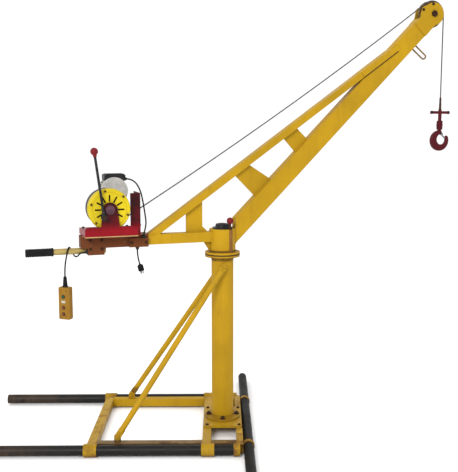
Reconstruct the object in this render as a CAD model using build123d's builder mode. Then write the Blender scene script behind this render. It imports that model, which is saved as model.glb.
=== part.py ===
from build123d import *
import os
from math import asin, atan2, cos, degrees, hypot, radians, sin, sqrt, tan

os.makedirs("parts", exist_ok=True)

# Small construction crane: a pipe-legged ground frame, a braced post and a
# slewing jib with a rope winch at its tail. Millimetres, X along the legs,
# Y across them, Z up from the ground, the post's axis at the origin.

# fits
seat_gap = 0.3
weld_gap = 0.2
turn_gap = 1.0

# ground frame
ground = 0.0
pipe_r = 24.0
pipe_wall = 3.5
pipe_z = 30.0
leg_half_spacing = 350.0
leg_left_end = -1170.0
leg_right_end = 62.0
sleeve_r = pipe_z
bore_r = pipe_r + seat_gap
sleeve_length = 60.0
mid_sleeve_shift = 6.0
end_sleeve_from = 49.0
end_sleeve_length = 30.0
tube_w = 40.0
tube_low = 10.0
tube_top = tube_low + tube_w
left_beam_x = -608.0
mid_beam_x = -76.0
right_beam_x = 80.0
right_beam_w = 30.0
right_beam_edge = right_beam_x + right_beam_w / 2
rail_y = leg_half_spacing - sleeve_r - tube_w / 2
cross_pipe_x = right_beam_edge + pipe_r + turn_gap
cross_pipe_half = 720.0
cross_sleeve_r = 28.0
cross_sleeve_length = 24.0

# post
plate_x = 186.0
plate_y = 268.0
plate_t = 10.0
foot_r = 85.0
foot_t = 12.0
foot_bolt_r = 70.0
foot_bolt_hole = 7.0
post_r = 54.0
post_wall = 5.0
post_top_z = 876.0
collar_t = 12.0
collar_r = 85.0
spindle_r = 42.0
spindle_wall = 6.0

# braces
brace_r = 13.5
brace_wall = 2.5
brace_low_x = -489.0
brace_low_y = rail_y
brace_low_z = 74.0
brace_top_x = 8.0
brace_top_y = 74.0
brace_top_z = 835.0
tab_t = 6.0
tab_w = 30.0
tab_reach = 40.0
lug_t = 8.0
lug_r = 16.0

# slewing head
slew_rest = 18.0
flange_gap = 0.6
head_flange_t = 12.0
sleeve_out_r = 64.0
sleeve_top_z = 1012.0
cap_brim_r = 48.0
cap_brim_t = 7.0
cap_top_r = 33.0
cap_h = 24.0
cap_lip = 2.5

# tail
arm_w = 50.0
tail_low = 952.0
tail_h = 48.0
tail_end = -684.0
gusset_reach = 95.0
gusset_low = 905.0

# jib beam
jib_angle = 45.0
jib_rise = 941.0
jib_depth = 87.0

# chord and webs
chord_slope = 0.706
chord_rise = 1245.0
chord_t = 32.0
chord_from = -375.0
ear_to = 935.0
ear_from = 735.0
ear_t = 3.0
web_t = 8.0

# jib head
cheek_t = 6.0
axle_along = 1607.5
axle_up = 2.3
sheave_r = 68.0
rope_line_r = 66.0
sheave_w = 20.0
axle_r = 12.0
rope_r = 3.0
rope_side = 12.0
jib_end = axle_along - sheave_r - 10.0
loop_along = axle_along - 188.0

# winch
hub_u = -566.0
hub_z = 1130.0
wind_r = 86.0

jib_x_dir = (cos(radians(slew_rest)), sin(radians(slew_rest)), 0)
jib_side_dir = (sin(radians(slew_rest)), -cos(radians(slew_rest)), 0)
jib_plane = Plane(origin=(0, 0, 0), x_dir=jib_x_dir, z_dir=jib_side_dir)
jib_across = Plane(origin=(0, 0, 0), x_dir=jib_side_dir, z_dir=(0, 0, 1))


def jib_point(along, up, side):
    """Point of the slewed works: along the jib, height, towards its near side."""
    return jib_plane.from_local_coords(Vector(along, up, side))


# legs: one long pipe at the front and one at the rear, open at both ends
with BuildPart() as front_leg_pipe:
    with BuildSketch(Plane.YZ.offset(leg_left_end)):
        with Locations((-leg_half_spacing, pipe_z)):
            Circle(pipe_r)
            Circle(pipe_r - pipe_wall, mode=Mode.SUBTRACT)
    extrude(amount=leg_right_end - leg_left_end)
front_leg_pipe.part.label = "front_leg_pipe"
export_step(front_leg_pipe.part, "parts/front_leg_pipe.step")

with BuildPart() as rear_leg_pipe:
    with BuildSketch(Plane.YZ.offset(leg_left_end)):
        with Locations((leg_half_spacing, pipe_z)):
            Circle(pipe_r)
            Circle(pipe_r - pipe_wall, mode=Mode.SUBTRACT)
    extrude(amount=leg_right_end - leg_left_end)
rear_leg_pipe.part.label = "rear_leg_pipe"
export_step(rear_leg_pipe.part, "parts/rear_leg_pipe.step")

with BuildPart() as cross_pipe:
    with BuildSketch(Plane.XZ.offset(-cross_pipe_half)):
        with Locations((cross_pipe_x, pipe_z)):
            Circle(pipe_r)
            Circle(pipe_r - pipe_wall, mode=Mode.SUBTRACT)
    extrude(amount=2 * cross_pipe_half)
cross_pipe.part.label = "cross_pipe"
export_step(cross_pipe.part, "parts/cross_pipe.step")

# cross beams with the sleeves that the leg pipes slide into
with BuildPart() as left_cross_beam:
    with BuildSketch(Plane.XY.offset(tube_low)):
        with Locations((left_beam_x, 0)):
            Rectangle(tube_w, 2 * leg_half_spacing)
    extrude(amount=tube_w)
    with BuildSketch(Plane.YZ.offset(left_beam_x - sleeve_length / 2)):
        with Locations((-leg_half_spacing, pipe_z), (leg_half_spacing, pipe_z)):
            Circle(sleeve_r)
    extrude(amount=sleeve_length)
    with BuildSketch(Plane.YZ.offset(left_beam_x - sleeve_length)):
        with Locations((-leg_half_spacing, pipe_z), (leg_half_spacing, pipe_z)):
            Circle(bore_r)
    extrude(amount=2 * sleeve_length, mode=Mode.SUBTRACT)
left_cross_beam.part.label = "left_cross_beam"
export_step(left_cross_beam.part, "parts/left_cross_beam.step")

with BuildPart() as middle_cross_beam:
    with BuildSketch(Plane.XY.offset(tube_low)):
        with Locations((mid_beam_x, 0)):
            Rectangle(tube_w, 2 * leg_half_spacing)
    extrude(amount=tube_w)
    with BuildSketch(Plane.YZ.offset(mid_beam_x + mid_sleeve_shift - sleeve_length / 2)):
        with Locations((-leg_half_spacing, pipe_z), (leg_half_spacing, pipe_z)):
            Circle(sleeve_r)
    extrude(amount=sleeve_length)
    with BuildSketch(Plane.YZ.offset(mid_beam_x - sleeve_length)):
        with Locations((-leg_half_spacing, pipe_z), (leg_half_spacing, pipe_z)):
            Circle(bore_r)
    extrude(amount=2 * sleeve_length, mode=Mode.SUBTRACT)
middle_cross_beam.part.label = "middle_cross_beam"
export_step(middle_cross_beam.part, "parts/middle_cross_beam.step")

with BuildPart() as right_cross_beam:
    with BuildSketch(Plane.XY.offset(tube_low)):
        with Locations((right_beam_x, 0)):
            Rectangle(right_beam_w, 2 * leg_half_spacing)
    extrude(amount=tube_w)
    with BuildSketch(Plane.YZ.offset(end_sleeve_from)):
        with Locations((-leg_half_spacing, pipe_z), (leg_half_spacing, pipe_z)):
            Circle(sleeve_r - turn_gap)
    extrude(amount=end_sleeve_length)
    with BuildSketch(Plane.XZ.offset(-rail_y - cross_sleeve_length / 2)):
        with Locations((cross_pipe_x, pipe_z)):
            Circle(cross_sleeve_r)
    extrude(amount=cross_sleeve_length)
    with BuildSketch(Plane.XZ.offset(rail_y - cross_sleeve_length / 2)):
        with Locations((cross_pipe_x, pipe_z)):
            Circle(cross_sleeve_r)
    extrude(amount=cross_sleeve_length)
    with BuildSketch(Plane.YZ.offset(end_sleeve_from)):
        with Locations((-leg_half_spacing, pipe_z), (leg_half_spacing, pipe_z)):
            Circle(bore_r)
    extrude(amount=right_beam_edge - end_sleeve_from, mode=Mode.SUBTRACT)
    with BuildSketch(Plane.XZ.offset(-cross_pipe_half)):
        with Locations((cross_pipe_x, pipe_z)):
            Circle(bore_r)
    extrude(amount=2 * cross_pipe_half, mode=Mode.SUBTRACT)
right_cross_beam.part.label = "right_cross_beam"
export_step(right_cross_beam.part, "parts/right_cross_beam.step")

# braces from the post down to the rails
brace_dx = brace_top_x - brace_low_x
brace_dz = brace_top_z - brace_low_z
brace_dy = brace_low_y - brace_top_y
brace_length = sqrt(brace_dx ** 2 + brace_dy ** 2 + brace_dz ** 2)


def brace_plane(side):
    """Plane through a brace's line, its normal pointing away from the post."""
    line = Vector(brace_dx, -side * brace_dy, brace_dz).normalized()
    out = Vector(0, side, 0)
    out = (out - line * out.dot(line)).normalized()
    return Plane(
        origin=(brace_low_x, side * brace_low_y, brace_low_z),
        x_dir=(line.X, line.Y, line.Z),
        z_dir=(out.X, out.Y, out.Z),
    )


front_brace_plane = brace_plane(-1)
rear_brace_plane = brace_plane(1)

with BuildPart() as front_brace:
    with BuildSketch(front_brace_plane.offset(-tab_t / 2)):
        with Locations((tab_reach / 2, 0), (brace_length - tab_reach / 2, 0)):
            SlotOverall(tab_reach + tab_w, tab_w)
    extrude(amount=tab_t)
    front_run = Plane(origin=front_brace_plane.origin, z_dir=front_brace_plane.x_dir)
    with BuildSketch(front_run.offset(tab_reach - tab_w / 2)):
        Circle(brace_r)
    extrude(amount=brace_length - 2 * tab_reach + tab_w)
front_brace.part.label = "front_brace"
export_step(front_brace.part, "parts/front_brace.step")

with BuildPart() as rear_brace:
    with BuildSketch(rear_brace_plane.offset(-tab_t / 2)):
        with Locations((tab_reach / 2, 0), (brace_length - tab_reach / 2, 0)):
            SlotOverall(tab_reach + tab_w, tab_w)
    extrude(amount=tab_t)
    rear_run = Plane(origin=rear_brace_plane.origin, z_dir=rear_brace_plane.x_dir)
    with BuildSketch(rear_run.offset(tab_reach - tab_w / 2)):
        Circle(brace_r)
    extrude(amount=brace_length - 2 * tab_reach + tab_w)
rear_brace.part.label = "rear_brace"
export_step(rear_brace.part, "parts/rear_brace.step")

# rails along the frame, each with the lug that holds a brace
rail_from = left_beam_x + tube_w / 2
rail_to = mid_beam_x - tube_w / 2
short_from = mid_beam_x + tube_w / 2
short_to = right_beam_x - right_beam_w / 2

def local_down(plane):
    """Angle of straight down, measured in a brace's own plane."""
    return degrees(atan2(-plane.y_dir.Z, -plane.x_dir.Z))


lug_offset = tab_t / 2 + seat_gap + lug_t
lug_drop = brace_low_z - tube_top + lug_t

with BuildPart() as front_rail:
    with BuildSketch(Plane.XY.offset(tube_low)):
        with Locations(((rail_from + rail_to) / 2, -rail_y)):
            Rectangle(rail_to - rail_from, tube_w)
    extrude(amount=tube_w)
    with BuildSketch(front_brace_plane.offset(-lug_offset)):
        Circle(lug_r)
        Rectangle(
            lug_drop,
            2 * lug_r,
            rotation=local_down(front_brace_plane),
            align=(Align.MIN, Align.CENTER),
        )
    extrude(amount=lug_t)
front_rail.part.label = "front_rail"
export_step(front_rail.part, "parts/front_rail.step")

with BuildPart() as rear_rail:
    with BuildSketch(Plane.XY.offset(tube_low)):
        with Locations(((rail_from + rail_to) / 2, rail_y)):
            Rectangle(rail_to - rail_from, tube_w)
    extrude(amount=tube_w)
    with BuildSketch(rear_brace_plane.offset(-lug_offset)):
        Circle(lug_r)
        Rectangle(
            lug_drop,
            2 * lug_r,
            rotation=local_down(rear_brace_plane),
            align=(Align.MIN, Align.CENTER),
        )
    extrude(amount=lug_t)
rear_rail.part.label = "rear_rail"
export_step(rear_rail.part, "parts/rear_rail.step")

with BuildPart() as front_short_rail:
    with BuildSketch(Plane.XY.offset(tube_low)):
        with Locations(((short_from + short_to) / 2, -rail_y)):
            Rectangle(short_to - short_from, tube_w)
    extrude(amount=tube_w)
front_short_rail.part.label = "front_short_rail"
export_step(front_short_rail.part, "parts/front_short_rail.step")

with BuildPart() as rear_short_rail:
    with BuildSketch(Plane.XY.offset(tube_low)):
        with Locations(((short_from + short_to) / 2, rail_y)):
            Rectangle(short_to - short_from, tube_w)
    extrude(amount=tube_w)
rear_short_rail.part.label = "rear_short_rail"
export_step(rear_short_rail.part, "parts/rear_short_rail.step")

# post: base plate on the beams, then the tube with its foot and head flanges,
# the bosses of the braces and the spindle that the jib turns on
plate_low = tube_top
foot_low = plate_low + plate_t
post_low = foot_low + foot_t
collar_top = post_top_z + collar_t
spindle_top = sleeve_top_z - 7.0
boss_reach = 24.0

with BuildPart() as post_base_plate:
    with BuildSketch(Plane.XY.offset(plate_low)):
        RectangleRounded(plate_x, plate_y, 6.0)
        with PolarLocations(foot_bolt_r, 4):
            Circle(foot_bolt_hole, mode=Mode.SUBTRACT)
    extrude(amount=plate_t)
post_base_plate.part.label = "post_base_plate"
export_step(post_base_plate.part, "parts/post_base_plate.step")

with BuildPart() as post:
    with BuildSketch(Plane.XY.offset(foot_low)):
        Circle(foot_r)
        with PolarLocations(foot_bolt_r, 4):
            Circle(foot_bolt_hole, mode=Mode.SUBTRACT)
    extrude(amount=foot_t)
    with BuildSketch(Plane.XY.offset(post_low)):
        Circle(post_r)
    extrude(amount=post_top_z - post_low)
    with BuildSketch(front_brace_plane.offset(-tab_t / 2 - seat_gap)):
        with Locations((brace_length, 0)):
            Circle(lug_r)
    extrude(amount=-boss_reach)
    with BuildSketch(rear_brace_plane.offset(-tab_t / 2 - seat_gap)):
        with Locations((brace_length, 0)):
            Circle(lug_r)
    extrude(amount=-boss_reach)
    with BuildSketch(Plane.XY.offset(post_top_z)):
        Circle(collar_r)
    extrude(amount=collar_t)
    with BuildSketch(Plane.XY.offset(collar_top)):
        Circle(spindle_r)
    extrude(amount=spindle_top - collar_top)
    with BuildSketch(Plane.XY.offset(foot_low)):
        Circle(post_r - post_wall)
    extrude(amount=post_top_z - foot_low, mode=Mode.SUBTRACT)
    with BuildSketch(Plane.XY.offset(post_top_z)):
        Circle(spindle_r - spindle_wall)
    extrude(amount=spindle_top - post_top_z, mode=Mode.SUBTRACT)
post.part.label = "post"
export_step(post.part, "parts/post.step")

# slewing head: flange and sleeve turning on the spindle, closed by a cap
head_low = collar_top + flange_gap
head_flange_top = head_low + head_flange_t
head_bore_r = spindle_r + turn_gap
coping_r = sleeve_out_r + weld_gap

with BuildPart() as slew_sleeve:
    with BuildSketch(Plane.XY.offset(head_low)):
        Circle(collar_r)
        Circle(head_bore_r, mode=Mode.SUBTRACT)
    extrude(amount=head_flange_t)
    with BuildSketch(Plane.XY.offset(head_flange_top)):
        Circle(sleeve_out_r)
        Circle(head_bore_r, mode=Mode.SUBTRACT)
    extrude(amount=sleeve_top_z - head_flange_top)
slew_sleeve.part.label = "slew_sleeve"
export_step(slew_sleeve.part, "parts/slew_sleeve.step")

with BuildPart() as bearing_cap:
    with BuildSketch(Plane.XZ):
        with BuildLine():
            Polyline(
                (0, sleeve_top_z),
                (cap_brim_r, sleeve_top_z),
                (cap_brim_r, sleeve_top_z + cap_brim_t),
                (cap_top_r + cap_lip, sleeve_top_z + cap_brim_t + cap_lip),
                (cap_top_r, sleeve_top_z + cap_h - cap_lip),
                (cap_top_r - cap_lip, sleeve_top_z + cap_h),
                (0, sleeve_top_z + cap_h),
                close=True,
            )
        make_face()
    revolve(axis=Axis.Z)
bearing_cap.part.label = "bearing_cap"
export_step(bearing_cap.part, "parts/bearing_cap.step")

# lock knob on the sleeve's upper rim
lock_u = 21.0
lock_side = 54.0
lock_rod_r = 5.0
lock_ball_r = 16.5
lock_ball_z = 1054.0

with BuildPart() as slew_lock_knob:
    knob_foot = jib_point(lock_u, sleeve_top_z, lock_side)
    with BuildSketch(Plane(origin=knob_foot, z_dir=(0, 0, 1))):
        Circle(lock_rod_r)
    extrude(amount=lock_ball_z - sleeve_top_z)
    with Locations(jib_point(lock_u, lock_ball_z, lock_side)):
        Sphere(lock_ball_r)
slew_lock_knob.part.label = "slew_lock_knob"
export_step(slew_lock_knob.part, "parts/slew_lock_knob.step")

# tail beam
tail_top = tail_low + tail_h

with BuildPart() as tail_beam:
    with BuildSketch(jib_plane.offset(-arm_w / 2)):
        with Locations((tail_end, tail_low)):
            Rectangle(-tail_end, tail_h, align=(Align.MIN, Align.MIN))
    extrude(amount=arm_w)
    with BuildSketch(jib_plane.offset(-web_t / 2)):
        with BuildLine():
            Polyline(
                (0, tail_low),
                (-gusset_reach, tail_low),
                (-sleeve_out_r, gusset_low),
                (0, gusset_low),
                close=True,
            )
        make_face()
    extrude(amount=web_t)
    with BuildSketch(Plane.XY.offset(head_flange_top)):
        Circle(coping_r)
    extrude(amount=2 * tail_h + arm_w, mode=Mode.SUBTRACT)
tail_beam.part.label = "tail_beam"
export_step(tail_beam.part, "parts/tail_beam.step")

# main beam, rising at its own angle; the beam plane runs along it
rise = radians(jib_angle)
beam_plane = Plane(
    origin=(0, 0, jib_rise),
    x_dir=(cos(rise) * jib_x_dir[0], cos(rise) * jib_x_dir[1], sin(rise)),
    z_dir=jib_side_dir,
)

with BuildPart() as main_beam:
    with BuildSketch(beam_plane.offset(-arm_w / 2)):
        Rectangle(jib_end, jib_depth, align=(Align.MIN, Align.CENTER))
    extrude(amount=arm_w)
    with BuildSketch(Plane.XY.offset(head_flange_top - arm_w)):
        Circle(coping_r)
    extrude(amount=4 * jib_depth, mode=Mode.SUBTRACT)
    split(bisect_by=Plane(origin=(0, 0, 0), z_dir=jib_x_dir), keep=Keep.TOP)
main_beam.part.label = "main_beam"
export_step(main_beam.part, "parts/main_beam.step")

# upper chord from the tail to the main beam, with an ear on each side of the beam
chord_angle = atan2(chord_slope, 1)
beam_top_rise = jib_rise + jib_depth / 2 / cos(rise)
chord_top_rise = chord_rise + chord_t / 2 / cos(chord_angle)
meet_u = (chord_top_rise - beam_top_rise) / (1 - chord_slope)
chord_plane = Plane(
    origin=(0, 0, chord_rise),
    x_dir=(
        cos(chord_angle) * jib_x_dir[0],
        cos(chord_angle) * jib_x_dir[1],
        sin(chord_angle),
    ),
    z_dir=jib_side_dir,
)
chord_a = chord_from / cos(chord_angle)
chord_b = (meet_u + chord_t) / cos(chord_angle)
ear_a = ear_from / cos(chord_angle)
ear_b = ear_to / cos(chord_angle)

with BuildPart() as upper_chord:
    with BuildSketch(chord_plane.offset(-arm_w / 2)):
        with Locations((chord_a, 0)):
            Rectangle(chord_b - chord_a, chord_t, align=(Align.MIN, Align.CENTER))
    extrude(amount=arm_w)
    with BuildSketch(beam_plane.offset(-arm_w / 2)):
        Rectangle(2 * jib_end, jib_depth, align=(Align.CENTER, Align.CENTER))
    extrude(amount=arm_w, mode=Mode.SUBTRACT)
    with BuildSketch(chord_plane.offset(arm_w / 2)):
        with Locations((ear_a, 0)):
            Rectangle(ear_b - ear_a, chord_t, align=(Align.MIN, Align.CENTER))
    extrude(amount=ear_t)
    with BuildSketch(chord_plane.offset(-arm_w / 2 - ear_t)):
        with Locations((ear_a, 0)):
            Rectangle(ear_b - ear_a, chord_t, align=(Align.MIN, Align.CENTER))
    extrude(amount=ear_t)
    split(bisect_by=Plane.XY.offset(tail_top), keep=Keep.TOP)
upper_chord.part.label = "upper_chord"
export_step(upper_chord.part, "parts/upper_chord.step")

# web plates between the beams and the chord
chord_under = chord_rise - chord_t / 2 / cos(chord_angle)


def under_chord(along):
    """Point on the chord's underside, as (along, height)."""
    return (along, chord_under + chord_slope * along)


def on_beam(along):
    """Point on the main beam's upper face, as (along, height)."""
    return (along, beam_top_rise + along)


lower_web_from = -184.0
lower_web_to = -103.0
lower_web_flare = 27.0
middle_web_low = (165.0, 247.0)
middle_web_high = (63.0, 135.0)
upper_web_low = (378.0, 442.0)
upper_web_high = (316.0, 386.0)

with BuildPart() as lower_web:
    with BuildSketch(jib_plane.offset(-web_t / 2)):
        with BuildLine():
            Polyline(
                (lower_web_from, tail_top),
                (lower_web_to + lower_web_flare, tail_top),
                (lower_web_to, tail_top + lower_web_flare),
                under_chord(lower_web_to),
                under_chord(lower_web_from),
                close=True,
            )
        make_face()
    extrude(amount=web_t)
lower_web.part.label = "lower_web"
export_step(lower_web.part, "parts/lower_web.step")

with BuildPart() as middle_web:
    with BuildSketch(jib_plane.offset(-web_t / 2)):
        with BuildLine():
            Polyline(
                on_beam(middle_web_low[0]),
                on_beam(middle_web_low[1]),
                under_chord(middle_web_high[1]),
                under_chord(middle_web_high[0]),
                close=True,
            )
        make_face()
    extrude(amount=web_t)
middle_web.part.label = "middle_web"
export_step(middle_web.part, "parts/middle_web.step")

with BuildPart() as upper_web:
    with BuildSketch(jib_plane.offset(-web_t / 2)):
        with BuildLine():
            Polyline(
                on_beam(upper_web_low[0]),
                on_beam(upper_web_low[1]),
                under_chord(upper_web_high[1]),
                under_chord(upper_web_high[0]),
                close=True,
            )
        make_face()
    extrude(amount=web_t)
upper_web.part.label = "upper_web"
export_step(upper_web.part, "parts/upper_web.step")

# jib head: two cheek plates, the rope sheave and its axle
cheek_from = 1494.0
nose_r = 56.0
nose_turn = radians(60)
corner_along = 1580.0
corner_up = 71.0
corner_run = 44.0
corner_cut = 18.0
corner_points = [
    (corner_along - corner_run, jib_depth / 2),
    (corner_along - corner_cut, corner_up - corner_cut / 2),
    (corner_along, corner_up),
    (axle_along + nose_r * cos(nose_turn), axle_up + nose_r * sin(nose_turn)),
    (axle_along, axle_up),
    (corner_along - corner_run, 0),
]

with BuildPart() as near_head_cheek:
    with BuildSketch(beam_plane.offset(arm_w / 2)):
        with Locations((cheek_from, 0)):
            Rectangle(axle_along - cheek_from, jib_depth, align=(Align.MIN, Align.CENTER))
        with Locations((axle_along, axle_up)):
            Circle(nose_r)
        with BuildLine():
            Polyline(corner_points, close=True)
        make_face()
        with Locations((axle_along, axle_up)):
            Circle(axle_r + seat_gap, mode=Mode.SUBTRACT)
    extrude(amount=cheek_t)
near_head_cheek.part.label = "near_head_cheek"
export_step(near_head_cheek.part, "parts/near_head_cheek.step")

with BuildPart() as far_head_cheek:
    with BuildSketch(beam_plane.offset(-arm_w / 2 - cheek_t)):
        with Locations((cheek_from, 0)):
            Rectangle(axle_along - cheek_from, jib_depth, align=(Align.MIN, Align.CENTER))
        with Locations((axle_along, axle_up)):
            Circle(nose_r)
        with BuildLine():
            Polyline(corner_points, close=True)
        make_face()
        with Locations((axle_along, axle_up)):
            Circle(axle_r + seat_gap, mode=Mode.SUBTRACT)
    extrude(amount=cheek_t)
far_head_cheek.part.label = "far_head_cheek"
export_step(far_head_cheek.part, "parts/far_head_cheek.step")

axle_u = axle_along * cos(rise) - axle_up * sin(rise)
axle_z = jib_rise + axle_along * sin(rise) + axle_up * cos(rise)
groove_r = rope_line_r - rope_r - seat_gap
hub_half = arm_w / 2 - turn_gap
axle_half = arm_w / 2 + cheek_t + 6.0
axle_head_r = 17.0
axle_head_t = 6.0

sheave_plane = Plane(
    origin=jib_point(axle_u, axle_z, 0), x_dir=jib_x_dir, z_dir=(0, 0, -1)
)
sheave_axis = Axis(origin=jib_point(axle_u, axle_z, 0), direction=jib_side_dir)

with BuildPart() as head_sheave:
    with BuildSketch(sheave_plane):
        with BuildLine():
            Polyline(
                (axle_r + seat_gap, -hub_half),
                (2 * axle_r, -hub_half),
                (2 * axle_r, -rope_side - sheave_w / 2),
                (sheave_r, -rope_side - sheave_w / 2),
                (groove_r, -rope_side - rope_r),
                (groove_r, -rope_side + rope_r),
                (sheave_r, -rope_side + sheave_w / 2),
                (2 * axle_r, -rope_side + sheave_w / 2),
                (2 * axle_r, hub_half),
                (axle_r + seat_gap, hub_half),
                close=True,
            )
        make_face()
    revolve(axis=sheave_axis)
head_sheave.part.label = "head_sheave"
export_step(head_sheave.part, "parts/head_sheave.step")

with BuildPart() as sheave_axle:
    with BuildSketch(beam_plane.offset(-axle_half)):
        with Locations((axle_along, axle_up)):
            Circle(axle_r)
    extrude(amount=2 * axle_half)
    with BuildSketch(beam_plane.offset(arm_w / 2 + cheek_t + seat_gap)):
        with Locations((axle_along, axle_up)):
            RegularPolygon(axle_head_r, 6)
    extrude(amount=axle_head_t)
    with BuildSketch(beam_plane.offset(-arm_w / 2 - cheek_t - seat_gap)):
        with Locations((axle_along, axle_up)):
            RegularPolygon(axle_head_r, 6)
    extrude(amount=-axle_head_t)
sheave_axle.part.label = "sheave_axle"
export_step(sheave_axle.part, "parts/sheave_axle.step")

# loop under the beam near the head
loop_half = 11.0
loop_reach = 86.0
loop_r = 4.0
loop_tilt = -38.0

loop_plane = Plane(
    origin=beam_plane.from_local_coords(Vector(loop_along, -jib_depth / 2, 0)),
    x_dir=beam_plane.x_dir,
    z_dir=beam_plane.z_dir,
).rotated((0, 0, loop_tilt))

with BuildPart() as anchor_loop:
    with BuildLine(loop_plane) as loop_line:
        l1 = Line((-loop_half, loop_half), (-loop_half, -loop_reach + loop_half))
        l2 = ThreePointArc(
            l1 @ 1,
            (0, -loop_reach),
            (loop_half, -loop_reach + loop_half),
        )
        l3 = Line(l2 @ 1, (loop_half, loop_half))
    with BuildSketch(Plane(origin=l1 @ 0, z_dir=l1 % 0)):
        Circle(loop_r)
    sweep()
    with BuildSketch(beam_plane.offset(-arm_w / 2)):
        Rectangle(jib_end, jib_depth, align=(Align.MIN, Align.CENTER))
    extrude(amount=arm_w, mode=Mode.SUBTRACT)
anchor_loop.part.label = "anchor_loop"
export_step(anchor_loop.part, "parts/anchor_loop.step")

# winch mount: a channel over the tail beam with the handle's clamp below it
mount_from = tail_end - 6.0
mount_to = -377.0
mount_plate = 6.0
mount_low = 948.0
mount_half = arm_w / 2 + seat_gap + mount_plate
mount_top = tail_top + seat_gap + mount_plate
clamp_from = -658.0
clamp_to = -582.0
clamp_wall = 4.0
block_from = -467.0
block_low = 946.0
block_high = 988.0
block_t = 11.0
handle_z = 935.0
bar_r = 14.5
clamp_low = handle_z - bar_r - seat_gap - clamp_wall
bar_from = -925.0
bar_to = clamp_to + 10.0
grip_from = -934.0
grip_to = -811.0
grip_r = 17.5
handle_plane = Plane(
    origin=jib_point(grip_from, handle_z, 0),
    x_dir=jib_side_dir,
    z_dir=jib_x_dir,
)

with BuildPart() as winch_mount:
    with BuildSketch(jib_plane.offset(-mount_half)):
        with Locations((mount_from, mount_low)):
            Rectangle(
                mount_to - mount_from,
                mount_top - mount_low,
                align=(Align.MIN, Align.MIN),
            )
        with Locations((clamp_from, clamp_low)):
            Rectangle(
                clamp_to - clamp_from,
                mount_top - clamp_low,
                align=(Align.MIN, Align.MIN),
            )
    extrude(amount=2 * mount_half)
    with BuildSketch(jib_plane.offset(-mount_half - block_t)):
        with Locations((block_from, block_low)):
            Rectangle(
                mount_to - block_from,
                block_high - block_low,
                align=(Align.MIN, Align.MIN),
            )
    extrude(amount=2 * (mount_half + block_t))
    with BuildSketch(jib_plane.offset(-arm_w / 2 - seat_gap)):
        with Locations((tail_end - seat_gap, tail_low - seat_gap)):
            Rectangle(
                -tail_end,
                tail_h + 2 * seat_gap,
                align=(Align.MIN, Align.MIN),
            )
        with Locations((clamp_to, clamp_low)):
            Rectangle(
                -clamp_to,
                tail_low - clamp_low,
                align=(Align.MIN, Align.MIN),
            )
        with Locations((clamp_from, clamp_low)):
            Rectangle(
                -clamp_from,
                tail_low - clamp_low,
                align=(Align.MAX, Align.MIN),
            )
    extrude(amount=arm_w + 2 * seat_gap, mode=Mode.SUBTRACT)
    with BuildSketch(handle_plane):
        Circle(bar_r + seat_gap)
    extrude(amount=clamp_to - grip_from + arm_w, mode=Mode.SUBTRACT)
winch_mount.part.label = "winch_mount"
export_step(winch_mount.part, "parts/winch_mount.step")

with BuildPart() as handle_bar:
    with BuildSketch(handle_plane.offset(bar_from - grip_from)):
        Circle(bar_r)
    extrude(amount=bar_to - bar_from)
handle_bar.part.label = "handle_bar"
export_step(handle_bar.part, "parts/handle_bar.step")

with BuildPart() as handle_grip:
    with BuildSketch(handle_plane):
        Circle(grip_r)
    extrude(amount=grip_to - grip_from)
    fillet(handle_grip.edges().filter_by(GeomType.CIRCLE), radius=2.5)
    with BuildSketch(handle_plane.offset(bar_from - grip_from - seat_gap)):
        Circle(bar_r + seat_gap)
    extrude(amount=grip_to - grip_from, mode=Mode.SUBTRACT)
handle_grip.part.label = "handle_grip"
export_step(handle_grip.part, "parts/handle_grip.step")

# winch base: tray, front lip and the pedestal that carries the shaft's end
base_from = -681.0
base_to = -440.0
base_far = -78.0
base_near = 112.0
base_low = mount_top
base_top = 1034.0
lip_t = 6.0
lip_top = 1054.0
lip_corner = 16.0
pedestal_r = 34.0
pedestal_low_half = 44.0
shaft_r = 14.0
lever_u = -596.0
lever_z = 1098.0
lever_pin_r = 5.0
lever_stand = 12.0

with BuildPart() as winch_base:
    with BuildSketch(jib_plane.offset(base_far)):
        with Locations((base_from, base_low)):
            Rectangle(
                base_to - base_from,
                base_top - base_low,
                align=(Align.MIN, Align.MIN),
            )
    extrude(amount=base_near - base_far)
    with BuildSketch(jib_plane.offset(base_near - lip_t)):
        with Locations(((base_from + base_to) / 2, (base_low + lip_top) / 2)):
            RectangleRounded(base_to - base_from, lip_top - base_low, lip_corner)
        with Locations(((base_from + base_to) / 2, base_low)):
            Rectangle(
                base_to - base_from,
                lip_corner,
                align=(Align.CENTER, Align.MIN),
            )
        with BuildLine():
            Polyline(
                (hub_u - pedestal_low_half, base_top),
                (hub_u + pedestal_low_half, base_top),
                (hub_u + pedestal_r, hub_z),
                (hub_u - pedestal_r, hub_z),
                close=True,
            )
        make_face()
        with Locations((hub_u, hub_z)):
            Circle(pedestal_r)
    extrude(amount=lip_t)
    with BuildSketch(jib_plane.offset(base_near)):
        with Locations((lever_u, lever_z)):
            Circle(lever_pin_r)
    extrude(amount=2 * lever_stand)
winch_base.part.label = "winch_base"
export_step(winch_base.part, "parts/winch_base.step")

# gear cover: a round casting with cooling slots between ribs round its hub
cover_r = 95.0
cover_far = 70.0
cover_near = 100.0
cover_round = 7.0
cover_hub_r = 26.0
neck_r = 62.0
neck_length = 8.0
back_r = 92.0
back_t = 32.0
back_far = cover_far - neck_length - back_t
cover_hub_near = base_near - lip_t - seat_gap
slot_count = 12
slot_inner = 36.0
slot_outer = 68.0
slot_w = 8.0
slot_depth = 9.0
rim_step_r = 76.0
rim_step = 4.0
cover_bolt_r = 86.0
cover_bolt_count = 6
cover_boss_r = 6.0
hub_point = jib_plane.offset(cover_far)
cover_plane = Plane(
    origin=jib_point(hub_u, hub_z, 0),
    x_dir=jib_x_dir,
    z_dir=jib_side_dir,
)

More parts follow.
